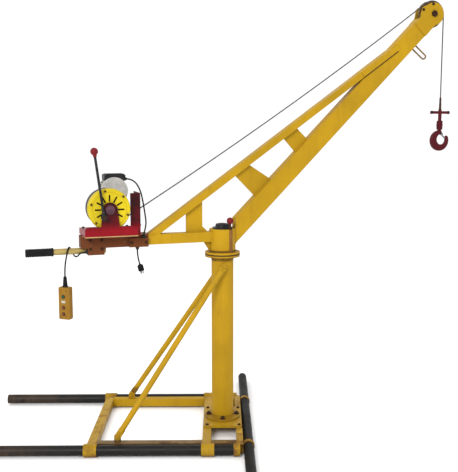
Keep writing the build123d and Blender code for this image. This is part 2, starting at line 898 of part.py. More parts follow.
with BuildPart() as gear_cover:
    with BuildSketch(cover_plane.offset(cover_far)):
        Circle(cover_r)
    extrude(amount=cover_near - cover_far - rim_step)
    fillet(
        gear_cover.faces().sort_by(Axis(cover_plane.origin, jib_side_dir))[-1].edges(),
        radius=cover_round,
    )
    with BuildSketch(cover_plane.offset(cover_near - rim_step - turn_gap)):
        Circle(rim_step_r)
    extrude(amount=rim_step + turn_gap)
    with BuildSketch(cover_plane.offset(cover_near - rim_step - turn_gap)):
        with PolarLocations(cover_bolt_r, cover_bolt_count, start_angle=43):
            Circle(cover_boss_r)
    extrude(amount=rim_step + turn_gap)
    with BuildSketch(cover_plane.offset(cover_near)):
        Circle(cover_hub_r)
    extrude(amount=cover_hub_near - cover_near)
    with BuildSketch(cover_plane.offset(cover_near)):
        with PolarLocations((slot_inner + slot_outer) / 2, slot_count):
            SlotOverall(slot_outer - slot_inner, slot_w)
    extrude(amount=-slot_depth, mode=Mode.SUBTRACT)
    with BuildSketch(cover_plane.offset(back_far)):
        Circle(neck_r)
    extrude(amount=cover_far - back_far)
    with BuildSketch(cover_plane.offset(back_far)):
        Circle(back_r)
    extrude(amount=back_t)
    with BuildSketch(cover_plane.offset(back_far)):
        Circle(shaft_r + seat_gap)
    extrude(amount=cover_hub_near - back_far, mode=Mode.SUBTRACT)
gear_cover.part.label = "gear_cover"
export_step(gear_cover.part, "parts/gear_cover.step")

# rear housing plate standing on the base
rear_far = -48.0
rear_near = -36.0
rear_r = 84.0
rear_foot = 70.0

with BuildPart() as rear_housing:
    with BuildSketch(cover_plane.offset(rear_far)):
        Circle(rear_r)
        with Locations((0, base_top - hub_z)):
            Rectangle(rear_foot, 3 * rear_foot / 4, align=(Align.CENTER, Align.MIN))
    extrude(amount=rear_near - rear_far)
rear_housing.part.label = "rear_housing"
export_step(rear_housing.part, "parts/rear_housing.step")

# rope drum with its flanges and its shaft
drum_far = rear_near + seat_gap
drum_near = back_far - seat_gap
drum_flange_t = 4.0
drum_flange_r = 90.0
drum_r = wind_r - rope_r - seat_gap
shaft_near = base_near - lip_t

with BuildPart() as rope_drum:
    with BuildSketch(cover_plane.offset(drum_far)):
        Circle(drum_r)
    extrude(amount=drum_near - drum_far)
    with BuildSketch(cover_plane.offset(drum_far)):
        Circle(drum_flange_r)
    extrude(amount=drum_flange_t)
    with BuildSketch(cover_plane.offset(drum_near)):
        Circle(drum_flange_r)
    extrude(amount=-drum_flange_t)
    with BuildSketch(cover_plane.offset(drum_near)):
        Circle(shaft_r)
    extrude(amount=shaft_near - drum_near)
rope_drum.part.label = "rope_drum"
export_step(rope_drum.part, "parts/rope_drum.step")

# motor behind the rear housing, with a terminal box on its top
motor_u = -516.0
motor_z = 1204.0
motor_r = 62.0
motor_core_r = 55.0
motor_length = 96.0
motor_ends = 14.0
fin_count = 24
fin_t = 4.0
box_u = -510.0
box_w = 100.0
box_top = 1279.0
box_h = 30.0
box_near = -64.0
box_length = 72.0
motor_plane = Plane(
    origin=jib_point(motor_u, motor_z, rear_far),
    x_dir=jib_x_dir,
    z_dir=(-jib_side_dir[0], -jib_side_dir[1], 0),
)

with BuildPart() as winch_motor:
    with BuildSketch(motor_plane):
        Circle(motor_r)
    extrude(amount=motor_ends)
    with BuildSketch(motor_plane.offset(motor_ends)):
        Circle(motor_core_r)
        with PolarLocations((motor_core_r + motor_r - turn_gap) / 2, fin_count):
            Rectangle(motor_r - motor_core_r + turn_gap, fin_t)
    extrude(amount=motor_length - 2 * motor_ends)
    with BuildSketch(motor_plane.offset(motor_length - motor_ends)):
        Circle(motor_r)
    extrude(amount=motor_ends)
winch_motor.part.label = "winch_motor"
export_step(winch_motor.part, "parts/winch_motor.step")

with BuildPart() as motor_terminal_box:
    with BuildSketch(jib_plane.offset(box_near)):
        with Locations((box_u, box_top - box_h / 2)):
            RectangleRounded(box_w, box_h, 5.0)
    extrude(amount=-box_length)
    with BuildSketch(motor_plane):
        Circle(motor_r + weld_gap)
    extrude(amount=2 * motor_length, mode=Mode.SUBTRACT)
motor_terminal_box.part.label = "motor_terminal_box"
export_step(motor_terminal_box.part, "parts/motor_terminal_box.step")

# guard beside the drum: a back plate with a window for the rope, and a near cheek
guard_from = -424.0
guard_t = 6.0
guard_far = -60.0
guard_near = 62.0
guard_top = 1200.0
guard_low = mount_top
cheek_end = -464.0
window_half = 22.0
window_low = 1088.0
window_top = 1168.0
guard_plane = Plane(
    origin=jib_point(guard_from, 0, 0),
    x_dir=jib_side_dir,
    z_dir=jib_x_dir,
)

with BuildPart() as drum_guard:
    with BuildSketch(guard_plane):
        with BuildLine():
            Polyline(
                (guard_far, -guard_low),
                (guard_near, -guard_low),
                (guard_near, -guard_top),
                (guard_far, -guard_top),
                close=True,
            )
        make_face()
        with Locations((0, -(window_low + window_top) / 2)):
            SlotOverall(
                window_top - window_low,
                2 * window_half,
                rotation=90,
                mode=Mode.SUBTRACT,
            )
    extrude(amount=guard_t)
    with BuildSketch(jib_plane.offset(guard_near - guard_t)):
        with Locations((cheek_end, base_top)):
            Rectangle(
                guard_from + guard_t - cheek_end,
                guard_top - base_top,
                align=(Align.MIN, Align.MIN),
            )
    extrude(amount=guard_t)
drum_guard.part.label = "drum_guard"
export_step(drum_guard.part, "parts/drum_guard.step")

# clutch lever on a pin in front of the pedestal
lever_top_u = -634.0
lever_top_z = 1392.0
lever_side = base_near + lever_stand
lever_rod_r = 6.0
lever_boss_r = 14.0
lever_ball_r = 17.0
lever_lean = atan2(lever_top_z - lever_z, lever_top_u - lever_u)
lever_length = hypot(lever_top_u - lever_u, lever_top_z - lever_z)
lever_dir = (
    cos(lever_lean) * jib_x_dir[0],
    cos(lever_lean) * jib_x_dir[1],
    sin(lever_lean),
)
lever_foot = jib_point(lever_u, lever_z, lever_side)

with BuildPart() as clutch_lever:
    with BuildSketch(jib_plane.offset(base_near + seat_gap)):
        with Locations((lever_u, lever_z)):
            Circle(lever_boss_r)
    extrude(amount=2 * (lever_side - base_near - seat_gap))
    with BuildSketch(Plane(origin=lever_foot, z_dir=lever_dir)):
        Circle(lever_rod_r)
    extrude(amount=lever_length)
    with Locations(jib_point(lever_top_u, lever_top_z, lever_side)):
        Sphere(lever_ball_r)
    with BuildSketch(jib_plane.offset(base_near)):
        with Locations((lever_u, lever_z)):
            Circle(lever_pin_r + seat_gap)
    extrude(amount=3 * lever_stand, mode=Mode.SUBTRACT)
clutch_lever.part.label = "clutch_lever"
export_step(clutch_lever.part, "parts/clutch_lever.step")

# hoisting rope: from the drum over the sheave and down to the limit bar
drop_u = axle_u + rope_line_r
bar_z = 1580.0
rope_low = bar_z + 12.0
rope_turn = radians(5.0)
lean = atan2(axle_z - hub_z, axle_u - hub_u)
for step in range(12):
    low_lean = lean - rope_turn / 2
    high_lean = lean + rope_turn / 2
    drum_leave = (hub_u + wind_r * sin(low_lean), hub_z - wind_r * cos(low_lean))
    sheave_meet = (
        axle_u - rope_line_r * sin(high_lean),
        axle_z + rope_line_r * cos(high_lean),
    )
    rope_run = sheave_meet[0] - drum_leave[0]
    rope_climb = sheave_meet[1] - drum_leave[1]
    lean = atan2(rope_climb, rope_run)
rope_sag = hypot(rope_run, rope_climb) * tan(rope_turn / 4) / 2
rope_mid = (
    (drum_leave[0] + sheave_meet[0]) / 2 + rope_sag * sin(lean),
    (drum_leave[1] + sheave_meet[1]) / 2 - rope_sag * cos(lean),
)
half_turn = (radians(90) + high_lean) / 2
sheave_mid = (
    axle_u + rope_line_r * cos(half_turn),
    axle_z + rope_line_r * sin(half_turn),
)

with BuildPart() as hoist_rope:
    with BuildLine(jib_plane.offset(rope_side)) as rope_line:
        r1 = ThreePointArc(drum_leave, rope_mid, sheave_meet)
        r2 = ThreePointArc(r1 @ 1, sheave_mid, (drop_u, axle_z))
        r3 = Line(r2 @ 1, (drop_u, rope_low))
    with BuildSketch(Plane(origin=r1 @ 0, z_dir=r1 % 0)):
        Circle(rope_r)
    sweep()
hoist_rope.part.label = "hoist_rope"
export_step(hoist_rope.part, "parts/hoist_rope.step")

# limit bar clamped on the rope, its socket reaching down to the swivel
bar_half = 56.0
bar_h = 14.0
socket_r = 9.0
socket_low = 1538.0
swivel_pin_r = 5.0
swivel_pin_depth = 20.0

with BuildPart() as limit_bar:
    with BuildSketch(jib_plane.offset(rope_side - bar_h / 2)):
        with Locations((drop_u, bar_z)):
            RectangleRounded(2 * bar_half, bar_h, 5.0)
    extrude(amount=bar_h)
    with BuildSketch(Plane(origin=jib_point(drop_u, socket_low, rope_side), z_dir=(0, 0, 1))):
        Circle(socket_r)
    extrude(amount=rope_low - socket_low)
    with BuildSketch(Plane(origin=jib_point(drop_u, socket_low, rope_side), z_dir=(0, 0, 1))):
        Circle(swivel_pin_r)
    extrude(amount=-swivel_pin_depth)
limit_bar.part.label = "limit_bar"
export_step(limit_bar.part, "parts/limit_bar.step")

# swivel nut and hook, turning about the rope
nut_r = 15.0
nut_top = socket_low - seat_gap
nut_low = 1490.0
hook_r = 9.0
hook_ring = 46.0
hook_z = nut_low - hook_ring - hook_r - turn_gap
tip_angle = 22.0
top_angle = 92.0
hook_half = 11.0
hook_out_r = hook_ring + hook_r - turn_gap
hook_in_r = 27.0
hook_eye = (9.0, 6.0)
hook_round = 7.0
hook_tip = Vector(
    hook_ring * cos(radians(tip_angle)),
    hook_ring * sin(radians(tip_angle)),
    0,
)


def mouth_point(angle):
    """Point well outside the hook, in the direction of an angle."""
    far = 2 * hook_out_r
    return (far * cos(radians(angle)), far * sin(radians(angle)))


with BuildPart() as hook_swivel:
    with BuildSketch(Plane(origin=jib_point(drop_u, nut_low, rope_side), z_dir=(0, 0, 1))):
        Circle(nut_r)
    extrude(amount=nut_top - nut_low)
    chamfer(
        hook_swivel.edges().filter_by(GeomType.CIRCLE),
        length=3.0,
    )
    with BuildSketch(Plane(origin=jib_point(drop_u, nut_top, rope_side), z_dir=(0, 0, -1))):
        Circle(swivel_pin_r + seat_gap)
    extrude(amount=swivel_pin_depth + turn_gap, mode=Mode.SUBTRACT)
hook_swivel.part.label = "hook_swivel"
export_step(hook_swivel.part, "parts/hook_swivel.step")

hook_plane = Plane(
    origin=jib_point(drop_u, hook_z, rope_side), x_dir=jib_x_dir, z_dir=jib_side_dir
)
latch_pivot = (13.0, 34.0)
latch_pin_r = 2.5
latch_w = 14.0
latch_ear_r = 6.0
lug_half = 3.0

with BuildPart() as lifting_hook:
    with BuildSketch(hook_plane.offset(-hook_half)):
        Circle(hook_out_r)
        with Locations(hook_eye):
            Circle(hook_in_r, mode=Mode.SUBTRACT)
    extrude(amount=2 * hook_half)
    fillet(lifting_hook.edges().filter_by(GeomType.CIRCLE), radius=hook_round)
    with BuildSketch(hook_plane.offset(-hook_half)):
        with BuildLine():
            Polyline(
                (0, 0),
                mouth_point(tip_angle),
                mouth_point((tip_angle + top_angle) / 2),
                mouth_point(top_angle),
                close=True,
            )
        make_face()
    extrude(amount=2 * hook_half, mode=Mode.SUBTRACT)
    with Locations(hook_plane.from_local_coords(hook_tip)):
        Sphere(hook_r)
    with BuildSketch(Plane(origin=jib_point(drop_u, hook_z + hook_ring, rope_side), z_dir=(0, 0, 1))):
        Circle(hook_r)
    extrude(amount=nut_low - hook_z - hook_ring)
    with Locations(jib_point(drop_u, hook_z + hook_ring, rope_side)):
        Sphere(hook_r)
    with BuildSketch(hook_plane.offset(-lug_half)):
        with Locations(latch_pivot):
            Circle(latch_ear_r)
        with BuildLine():
            Polyline(
                (0, hook_ring - latch_ear_r),
                (latch_pivot[0] - latch_ear_r, latch_pivot[1]),
                (latch_pivot[0] + latch_ear_r, latch_pivot[1]),
                (hook_r, hook_ring + hook_r),
                (0, hook_ring + hook_r),
                close=True,
            )
        make_face()
    extrude(amount=2 * lug_half)
    with BuildSketch(hook_plane.offset(-latch_w / 2)):
        with Locations(latch_pivot):
            Circle(latch_pin_r)
    extrude(amount=latch_w)
lifting_hook.part.label = "lifting_hook"
export_step(lifting_hook.part, "parts/lifting_hook.step")

# latch closing the hook's mouth from inside
latch_t = 3.0
tip_point = (
    (hook_ring - hook_r - seat_gap) * cos(radians(tip_angle)),
    (hook_ring - hook_r - seat_gap) * sin(radians(tip_angle)),
)
latch_lean = atan2(tip_point[1] - latch_pivot[1], tip_point[0] - latch_pivot[0])
latch_reach = hypot(tip_point[0] - latch_pivot[0], tip_point[1] - latch_pivot[1])
latch_plane = Plane(
    origin=jib_point(drop_u + latch_pivot[0], hook_z + latch_pivot[1], rope_side),
    x_dir=(
        cos(latch_lean) * jib_x_dir[0],
        cos(latch_lean) * jib_x_dir[1],
        sin(latch_lean),
    ),
    z_dir=jib_side_dir,
)

with BuildPart() as hook_latch:
    with BuildSketch(latch_plane.offset(-latch_w / 2)):
        Circle(latch_ear_r)
        with Locations((0, -latch_t)):
            Rectangle(latch_reach, latch_t, align=(Align.MIN, Align.MIN))
        Circle(latch_pin_r + seat_gap, mode=Mode.SUBTRACT)
    extrude(amount=latch_w)
    with BuildSketch(latch_plane.offset(-lug_half - seat_gap)):
        Circle(latch_ear_r + 2 * turn_gap)
    extrude(amount=2 * (lug_half + seat_gap), mode=Mode.SUBTRACT)
hook_latch.part.label = "hook_latch"
export_step(hook_latch.part, "parts/hook_latch.step")


def cord_path(route):
    """Route of a cord, as points of the slewed works, with its bend radii."""
    points = [jib_point(along, up, side) for along, up, side in route]
    radii = []
    for before, here, after in zip(points, points[1:], points[2:]):
        run_in = here - before
        run_out = after - here
        half = radians(run_in.get_angle(run_out)) / 2
        radii.append(0.45 * min(run_in.length, run_out.length) / tan(half))
    return points, radii


# control pendant with its strain relief, hanging from the handle bar
cord_r = 3.5
pendant_u = -764.0
pendant_side = 22.0
pendant_w = 58.0
pendant_d = 38.0
pendant_turn = -20.0
pendant_low = 626.0
pendant_top = 775.0
pendant_round = 9.0
relief_r = 8.5
relief_tip_r = 6.0
relief_top = 822.0
pendant_plane = Plane(
    origin=jib_point(pendant_u, pendant_low, pendant_side),
    x_dir=(cos(radians(pendant_turn)), sin(radians(pendant_turn)), 0),
    z_dir=(0, 0, 1),
)

with BuildPart() as pendant_box:
    with BuildSketch(pendant_plane):
        RectangleRounded(pendant_w, pendant_d, pendant_round)
    extrude(amount=pendant_top - pendant_low)
    chamfer(pendant_box.faces().filter_by(Axis.Z).edges(), length=3.0)
    with BuildSketch(Plane(origin=jib_point(pendant_u, pendant_top, pendant_side), z_dir=(0, 0, 1))):
        Circle(relief_r)
    with BuildSketch(Plane(origin=jib_point(pendant_u, relief_top, pendant_side), z_dir=(0, 0, 1))):
        Circle(relief_tip_r)
    loft()
pendant_box.part.label = "pendant_box"
export_step(pendant_box.part, "parts/pendant_box.step")

wrap_z = handle_z + bar_r + cord_r + seat_gap - 22.0
wrap_r = 25.5
wrap_half = wrap_r / 2
wrap_rise = wrap_r * cos(radians(30))
exit_side = 26.0

pendant_route = [
    (clamp_from - seat_gap, wrap_z, exit_side),
    (-692.0, wrap_z, exit_side),
    (-705.0, wrap_z - wrap_rise, wrap_half),
    (-715.0, wrap_z - wrap_rise, -wrap_half),
    (-725.0, wrap_z, -wrap_r),
    (-735.0, wrap_z + wrap_rise, -wrap_half),
    (-745.0, wrap_z + wrap_rise, wrap_half),
    (-755.0, wrap_z - 14.0, 27.0),
    (-762.0, 882.0, 26.0),
    (pendant_u, 846.0, pendant_side),
    (pendant_u, relief_top + seat_gap, pendant_side),
]
pendant_points, pendant_radii = cord_path(pendant_route)
print("pendant cable radii", [round(r, 1) for r in pendant_radii])

with BuildPart() as pendant_cable:
    with BuildLine() as pendant_line:
        FilletPolyline(*pendant_points, radius=pendant_radii)
    pendant_wire = pendant_line.wire()
    with BuildSketch(Plane(origin=pendant_wire @ 0, z_dir=pendant_wire % 0)):
        Circle(cord_r)
    sweep(path=pendant_wire)
pendant_cable.part.label = "pendant_cable"
export_step(pendant_cable.part, "parts/pendant_cable.step")
print("pendant cable", pendant_cable.part.volume, 3.14159 * cord_r ** 2 * pendant_wire.length)

# motor cable from the terminal box down to the mount's near block
motor_cable_route = [
    (box_u + box_w / 2 + seat_gap, 1257.0, -96.0),
    (-434.0, 1257.0, -96.0),
    (-410.0, 1240.0, -64.0),
    (-400.0, 1204.0, -12.0),
    (-397.0, 1156.0, 24.0),
    (-392.0, 1108.0, 34.0),
    (-385.0, 1058.0, 34.0),
    (-393.0, 1022.0, 37.0),
    (-398.0, 1008.0, 37.0),
    (-398.0, block_high + seat_gap, 37.0),
]
motor_points, motor_radii = cord_path(motor_cable_route)
print("motor cable radii", [round(r, 1) for r in motor_radii])

with BuildPart() as motor_cable:
    with BuildLine() as motor_line:
        FilletPolyline(*motor_points, radius=motor_radii)
    motor_wire = motor_line.wire()
    with BuildSketch(Plane(origin=motor_wire @ 0, z_dir=motor_wire % 0)):
        Circle(cord_r)
    sweep(path=motor_wire)
motor_cable.part.label = "motor_cable"
export_step(motor_cable.part, "parts/motor_cable.step")

# power lead hanging below the block, ending in its plug
plug_r = 14.0
plug_top = 862.0
plug_length = 30.0
plug_u = -419.0
plug_side = 36.0
pin_r = 2.4
pin_ring = 7.0
pin_reach = 16.0

power_route = [
    (-430.0, block_low - seat_gap, 37.0),
    (-430.0, 915.0, 37.0),
    (-426.0, 888.0, 38.0),
    (plug_u, plug_top, plug_side),
]
power_points, power_radii = cord_path(power_route)
print("power lead radii", [round(r, 1) for r in power_radii])

with BuildPart() as power_lead:
    with BuildLine() as power_line:
        FilletPolyline(*power_points, radius=power_radii)
    power_wire = power_line.wire()
    with BuildSketch(Plane(origin=power_wire @ 0, z_dir=power_wire % 0)):
        Circle(cord_r)
    sweep(path=power_wire)
power_lead.part.label = "power_lead"
export_step(power_lead.part, "parts/power_lead.step")

plug_dir = power_points[-1] - power_points[-2]
plug_plane = Plane(
    origin=power_points[-1] + plug_dir.normalized() * seat_gap,
    z_dir=plug_dir,
)

with BuildPart() as power_plug:
    with BuildSketch(plug_plane):
        Circle(plug_r)
    extrude(amount=plug_length)
    fillet(power_plug.edges().filter_by(GeomType.CIRCLE), radius=4.0)
    with BuildSketch(plug_plane.offset(plug_length)):
        with PolarLocations(pin_ring, 3):
            Circle(pin_r)
    extrude(amount=pin_reach)
power_plug.part.label = "power_plug"
export_step(power_plug.part, "parts/power_plug.step")
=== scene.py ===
from math import cos, pi, radians, sin, sqrt

import bmesh
import bpy
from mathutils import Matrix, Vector

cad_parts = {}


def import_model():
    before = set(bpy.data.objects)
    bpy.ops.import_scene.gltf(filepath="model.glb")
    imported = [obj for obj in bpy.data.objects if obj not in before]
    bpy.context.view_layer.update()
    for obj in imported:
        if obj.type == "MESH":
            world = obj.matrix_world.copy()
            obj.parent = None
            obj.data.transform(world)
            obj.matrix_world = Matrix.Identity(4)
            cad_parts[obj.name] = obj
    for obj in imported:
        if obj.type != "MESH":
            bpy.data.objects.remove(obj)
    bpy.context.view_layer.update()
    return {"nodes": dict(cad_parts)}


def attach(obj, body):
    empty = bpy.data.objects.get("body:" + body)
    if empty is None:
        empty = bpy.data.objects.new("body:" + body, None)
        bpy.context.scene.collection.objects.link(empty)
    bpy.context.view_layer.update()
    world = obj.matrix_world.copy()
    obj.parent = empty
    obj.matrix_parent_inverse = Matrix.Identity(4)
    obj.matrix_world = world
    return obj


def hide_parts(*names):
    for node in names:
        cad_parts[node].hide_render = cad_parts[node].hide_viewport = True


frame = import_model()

bl_info = {
    "name": "Mini construction crane",
    "version": (1, 0, 0),
    "blender": (4, 5, 0),
    "location": "View3D > Sidebar > Crane",
    "description": "Finishes and fittings of a small slewing construction crane",
    "category": "Object",
}

NODES = frame["nodes"]
FINISH = {}
SHARP_ANGLE = radians(38.0)

# Directions of the jib, which is slewed against the ground frame in the photo
SLEW = radians(18.0)
ALONG = Vector((cos(SLEW), sin(SLEW), 0.0))
SIDE = Vector((sin(SLEW), -cos(SLEW), 0.0))
UP = Vector((0.0, 0.0, 1.0))
BEAM = (ALONG + UP).normalized()
BEAM_UP = (UP - ALONG).normalized()
BEAM_FOOT = Vector((0.0, 0.0, 0.941))


def world(x, y, z):
    """World point from millimetres in the ground frame's axes."""
    return Vector((x, y, z)) / 1000


def jib(along, up, side):
    """World point from millimetres along the jib, up, and towards its near side."""
    return (ALONG * along + UP * up + SIDE * side) / 1000


def beam(along, across, side):
    """World point from millimetres along the main beam, across it, and sideways."""
    return BEAM_FOOT + (BEAM * along + BEAM_UP * across + SIDE * side) / 1000


# Mesh tools


def axes_about(axis, turn=0.0):
    """The unit axis and two directions square to it, turned about it."""
    axis = axis.normalized()
    other = UP if abs(axis.dot(UP)) < 0.9 else ALONG
    x = other.cross(axis).normalized()
    y = axis.cross(x)
    return axis, x * cos(turn) + y * sin(turn), y * cos(turn) - x * sin(turn)


def around(centre, x, y, radius, count, start=0.0):
    """World points at even angles in the plane of x and y, each with its angle."""
    angles = [start + 2 * pi * i / count for i in range(count)]
    return [(centre + (x * cos(a) + y * sin(a)) * radius / 1000, a) for a in angles]


def ring_points(centre, x, y, radius, count):
    """World points round a circle in the plane of x and y."""
    return [point for point, angle in around(centre, x, y, radius, count)]


def circle_points(centre, axis, radius, count):
    """World points round a circle that is square to an axis."""
    x, y = axes_about(axis)[1:]
    return ring_points(centre, x, y, radius, count)


class Form:
    """Gathers the mesh of one piece; lengths are in millimetres, points in metres."""

    def __init__(self):
        self.bm = bmesh.new()

    def skin(self, rings, closed=False):
        """Faces between rings of points; a ring of one point is a tip."""
        made = [[self.bm.verts.new(p) for p in ring] for ring in rings]
        if closed:
            made.append(made[0])
        for low, high in zip(made, made[1:]):
            count = max(len(low), len(high))
            for i in range(count):
                j = (i + 1) % count
                quad = [low[i % len(low)], low[j % len(low)], high[j % len(high)], high[i % len(high)]]
                face = list(dict.fromkeys(quad))
                if len(face) > 2:
                    self.bm.faces.new(face)
        if not closed:
            for ring in (made[0], made[-1]):
                if len(ring) > 2:
                    self.bm.faces.new(ring)

    def lathe(self, centre, axis, profile, sides, turn=0.0):
        """Turned shape from (radius, distance along the axis) pairs."""
        axis, x, y = axes_about(axis, turn)
        rings = []
        for radius, height in profile:
            middle = centre + axis * height / 1000
            rings.append(ring_points(middle, x, y, radius, sides) if radius > 0 else [middle])
        self.skin(rings)

    def bolt(self, centre, axis, size, turn, stub=0.0):
        """Hexagon head on its washer, at any turn; size is the thread's diameter, stub what stands out."""
        washer = size * 1.15
        self.lathe(centre, axis, [(washer, -0.3), (washer, size * 0.16), (washer * 0.96, size * 0.22)], 20)
        low, high, flat = size * 0.2, size * 0.88, size * 0.93
        profile = [(flat, low), (flat, high - size * 0.1), (flat * 0.86, high)]
        self.lathe(centre, axis, profile, 6, turn)
        if stub:
            thread = size * 0.5
            profile = [(thread, high - 0.5)]
            steps = max(2, int(stub / 1.5))
            for i in range(steps):
                along = high + stub * i / steps
                profile += [(thread, along), (thread * 0.88, along + stub / steps / 2)]
            profile.append((thread * 0.7, high + stub))
            self.lathe(centre, axis, profile, 14)

    def screw(self, centre, axis, size):
        """Round-headed screw; size is the radius of its head."""
        top = size * 0.72
        profile = [(size, -0.2), (size, size * 0.3), (size * 0.75, size * 0.6), (size * 0.3, top), (0, top)]
        self.lathe(centre, axis, profile, 16)

    def tube(self, points, radius, sides, closed=False, swell=None):
        """Tube through world points; swell gives a factor on its radius at each point."""
        count = len(points)
        rings = []
        x = None
        for i, point in enumerate(points):
            before = points[(i - 1) % count] if closed or i else points[0]
            after = points[(i + 1) % count] if closed or i < count - 1 else points[-1]
            run = (after - before).normalized()
            if x is None:
                x = axes_about(run)[1]
            x = (x - run * x.dot(run)).normalized()
            y = run.cross(x)
            rings.append(ring_points(point, x, y, radius * (swell(i) if swell else 1.0), sides))
        self.skin(rings, closed)

    def bead(self, points, size, closed=False):
        """Weld bead along a line, rippled the way it was laid."""
        line = []
        for a, b in zip(points, points[1:] + (points[:1] if closed else [])):
            steps = max(1, int((b - a).length * 1000 / (size * 0.9)))
            line += [a.lerp(b, i / steps) for i in range(steps)]
        if not closed:
            line.append(points[-1])
        self.tube(line, size, 6, closed, lambda i: 1.12 if i % 2 else 0.86)

    def slab(self, centre, x, y, width, height, thick, corner, bevel):
        """Plate with rounded corners, its lower face on centre, growing along x cross y."""
        z = x.cross(y).normalized()
        half_x, half_y = width / 2 - corner, height / 2 - corner
        outline = []
        for cx, cy, start in ((1, 1, 0), (-1, 1, 90), (-1, -1, 180), (1, -1, 270)):
            for k in range(5):
                a = radians(start + 90 * k / 4)
                outline.append((cx * half_x + corner * cos(a), cy * half_y + corner * sin(a)))
        rings = []
        for inset, level in ((0.0, 0.0), (0.0, thick - bevel), (bevel, thick)):
            fx, fy = 1 - 2 * inset / width, 1 - 2 * inset / height
            rings.append([centre + (x * px * fx + y * py * fy + z * level) / 1000 for px, py in outline])
        self.skin(rings)

    def make(self, name, finish, body="jib"):
        """Turns the gathered mesh into a piece that rides on a body."""
        bmesh.ops.recalc_face_normals(self.bm, faces=self.bm.faces)
        mesh = bpy.data.meshes.new(name)
        self.bm.to_mesh(mesh)
        self.bm.free()
        mesh.shade_smooth()
        mesh.set_sharp_from_angle(angle=SHARP_ANGLE)
        piece = bpy.data.objects.new(name, mesh)
        bpy.context.scene.collection.objects.link(piece)
        mesh.materials.append(FINISH[finish])
        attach(piece, body)
        return piece


# Materials


class Shader:
    """Builds one procedural material, node by node."""

    def __init__(self, name):
        self.material = bpy.data.materials.new(name)
        self.material.use_nodes = True
        self.tree = self.material.node_tree
        self.tree.nodes.clear()
        out = self.tree.nodes.new("ShaderNodeOutputMaterial")
        self.bsdf = self.tree.nodes.new("ShaderNodeBsdfPrincipled")
        self.link(self.bsdf.outputs["BSDF"], out.inputs["Surface"])
        self.place = self.tree.nodes.new("ShaderNodeTexCoord").outputs["Object"]

    def link(self, a, b):
        """Joins an output to an input."""
        self.tree.links.new(a, b)

    def fill(self, socket, value):
        """Links a socket to a node's output, or sets its value."""
        if isinstance(value, bpy.types.NodeSocket):
            self.link(value, socket)
        elif socket.type == "RGBA":
            socket.default_value = (*value[:3], 1.0)
        else:
            socket.default_value = value

    def add(self, kind, inputs, output=0, **settings):
        """A node with its settings and inputs filled in; gives one of its outputs."""
        node = self.tree.nodes.new("ShaderNode" + kind)
        for name, value in settings.items():
            setattr(node, name, value)
        for key, value in inputs.items():
            self.fill(node.inputs[key], value)
        return node.outputs[output]

    def noise(self, scale, detail, rough=0.6, stretch=None):
        """Cloudy noise, which stretch draws out along an axis."""
        source = self.place
        if stretch:
            source = self.add("Mapping", {"Vector": source, "Scale": stretch}, "Vector")
        inputs = {"Vector": source, "Scale": scale, "Detail": detail, "Roughness": rough}
        return self.add("TexNoise", inputs, "Fac")

    def ramp(self, fac, low, high, a=0.0, b=1.0):
        """Turns low to high into a to b, and holds the ends."""
        inputs = {"Value": fac, "From Min": low, "From Max": high, "To Min": a, "To Max": b}
        return self.add("MapRange", inputs, "Result")

    def mix(self, fac, a, b):
        """Colour a where fac is 0, colour b where it is 1."""
        return self.add("Mix", {0: fac, 6: a, 7: b}, 2, data_type="RGBA")

    def math(self, kind, a, b):
        """One step of arithmetic on two values."""
        return self.add("Math", {0: a, 1: b}, operation=kind)

    def axis(self, index):
        """Place along an axis of the ground frame, in metres: 0 is X and 2 is up."""
        return self.add("SeparateXYZ", {0: self.place}, index)

    def corner_shade(self, distance):
        """Occlusion mask for painted shade: 1 on open faces, and less in corners within a distance."""
        return self.add("AmbientOcclusion", {"Distance": distance}, "AO", samples=4)

    def bump(self, fac, strength, distance):
        """Fine relief of the surface."""
        inputs = {"Height": fac, "Strength": strength, "Distance": distance}
        self.link(self.add("Bump", inputs, "Normal"), self.bsdf.inputs["Normal"])

    def finish(self, color, rough, metal=0.0, shine=0.12):
        """Fills in the surface; shine is the strength of its reflections."""
        for name, value in (("Base Color", color), ("Roughness", rough), ("Metallic", metal)):
            self.fill(self.bsdf.inputs[name], value)
        self.bsdf.inputs["Specular IOR Level"].default_value = shine
        return self.material


def scaled(color, factor):
    """A darker or lighter tone of a colour."""
    return tuple(min(1.0, c * factor) for c in color[:3])


RUST = (0.16, 0.07, 0.028)
STAIN = (0.07, 0.024, 0.006)


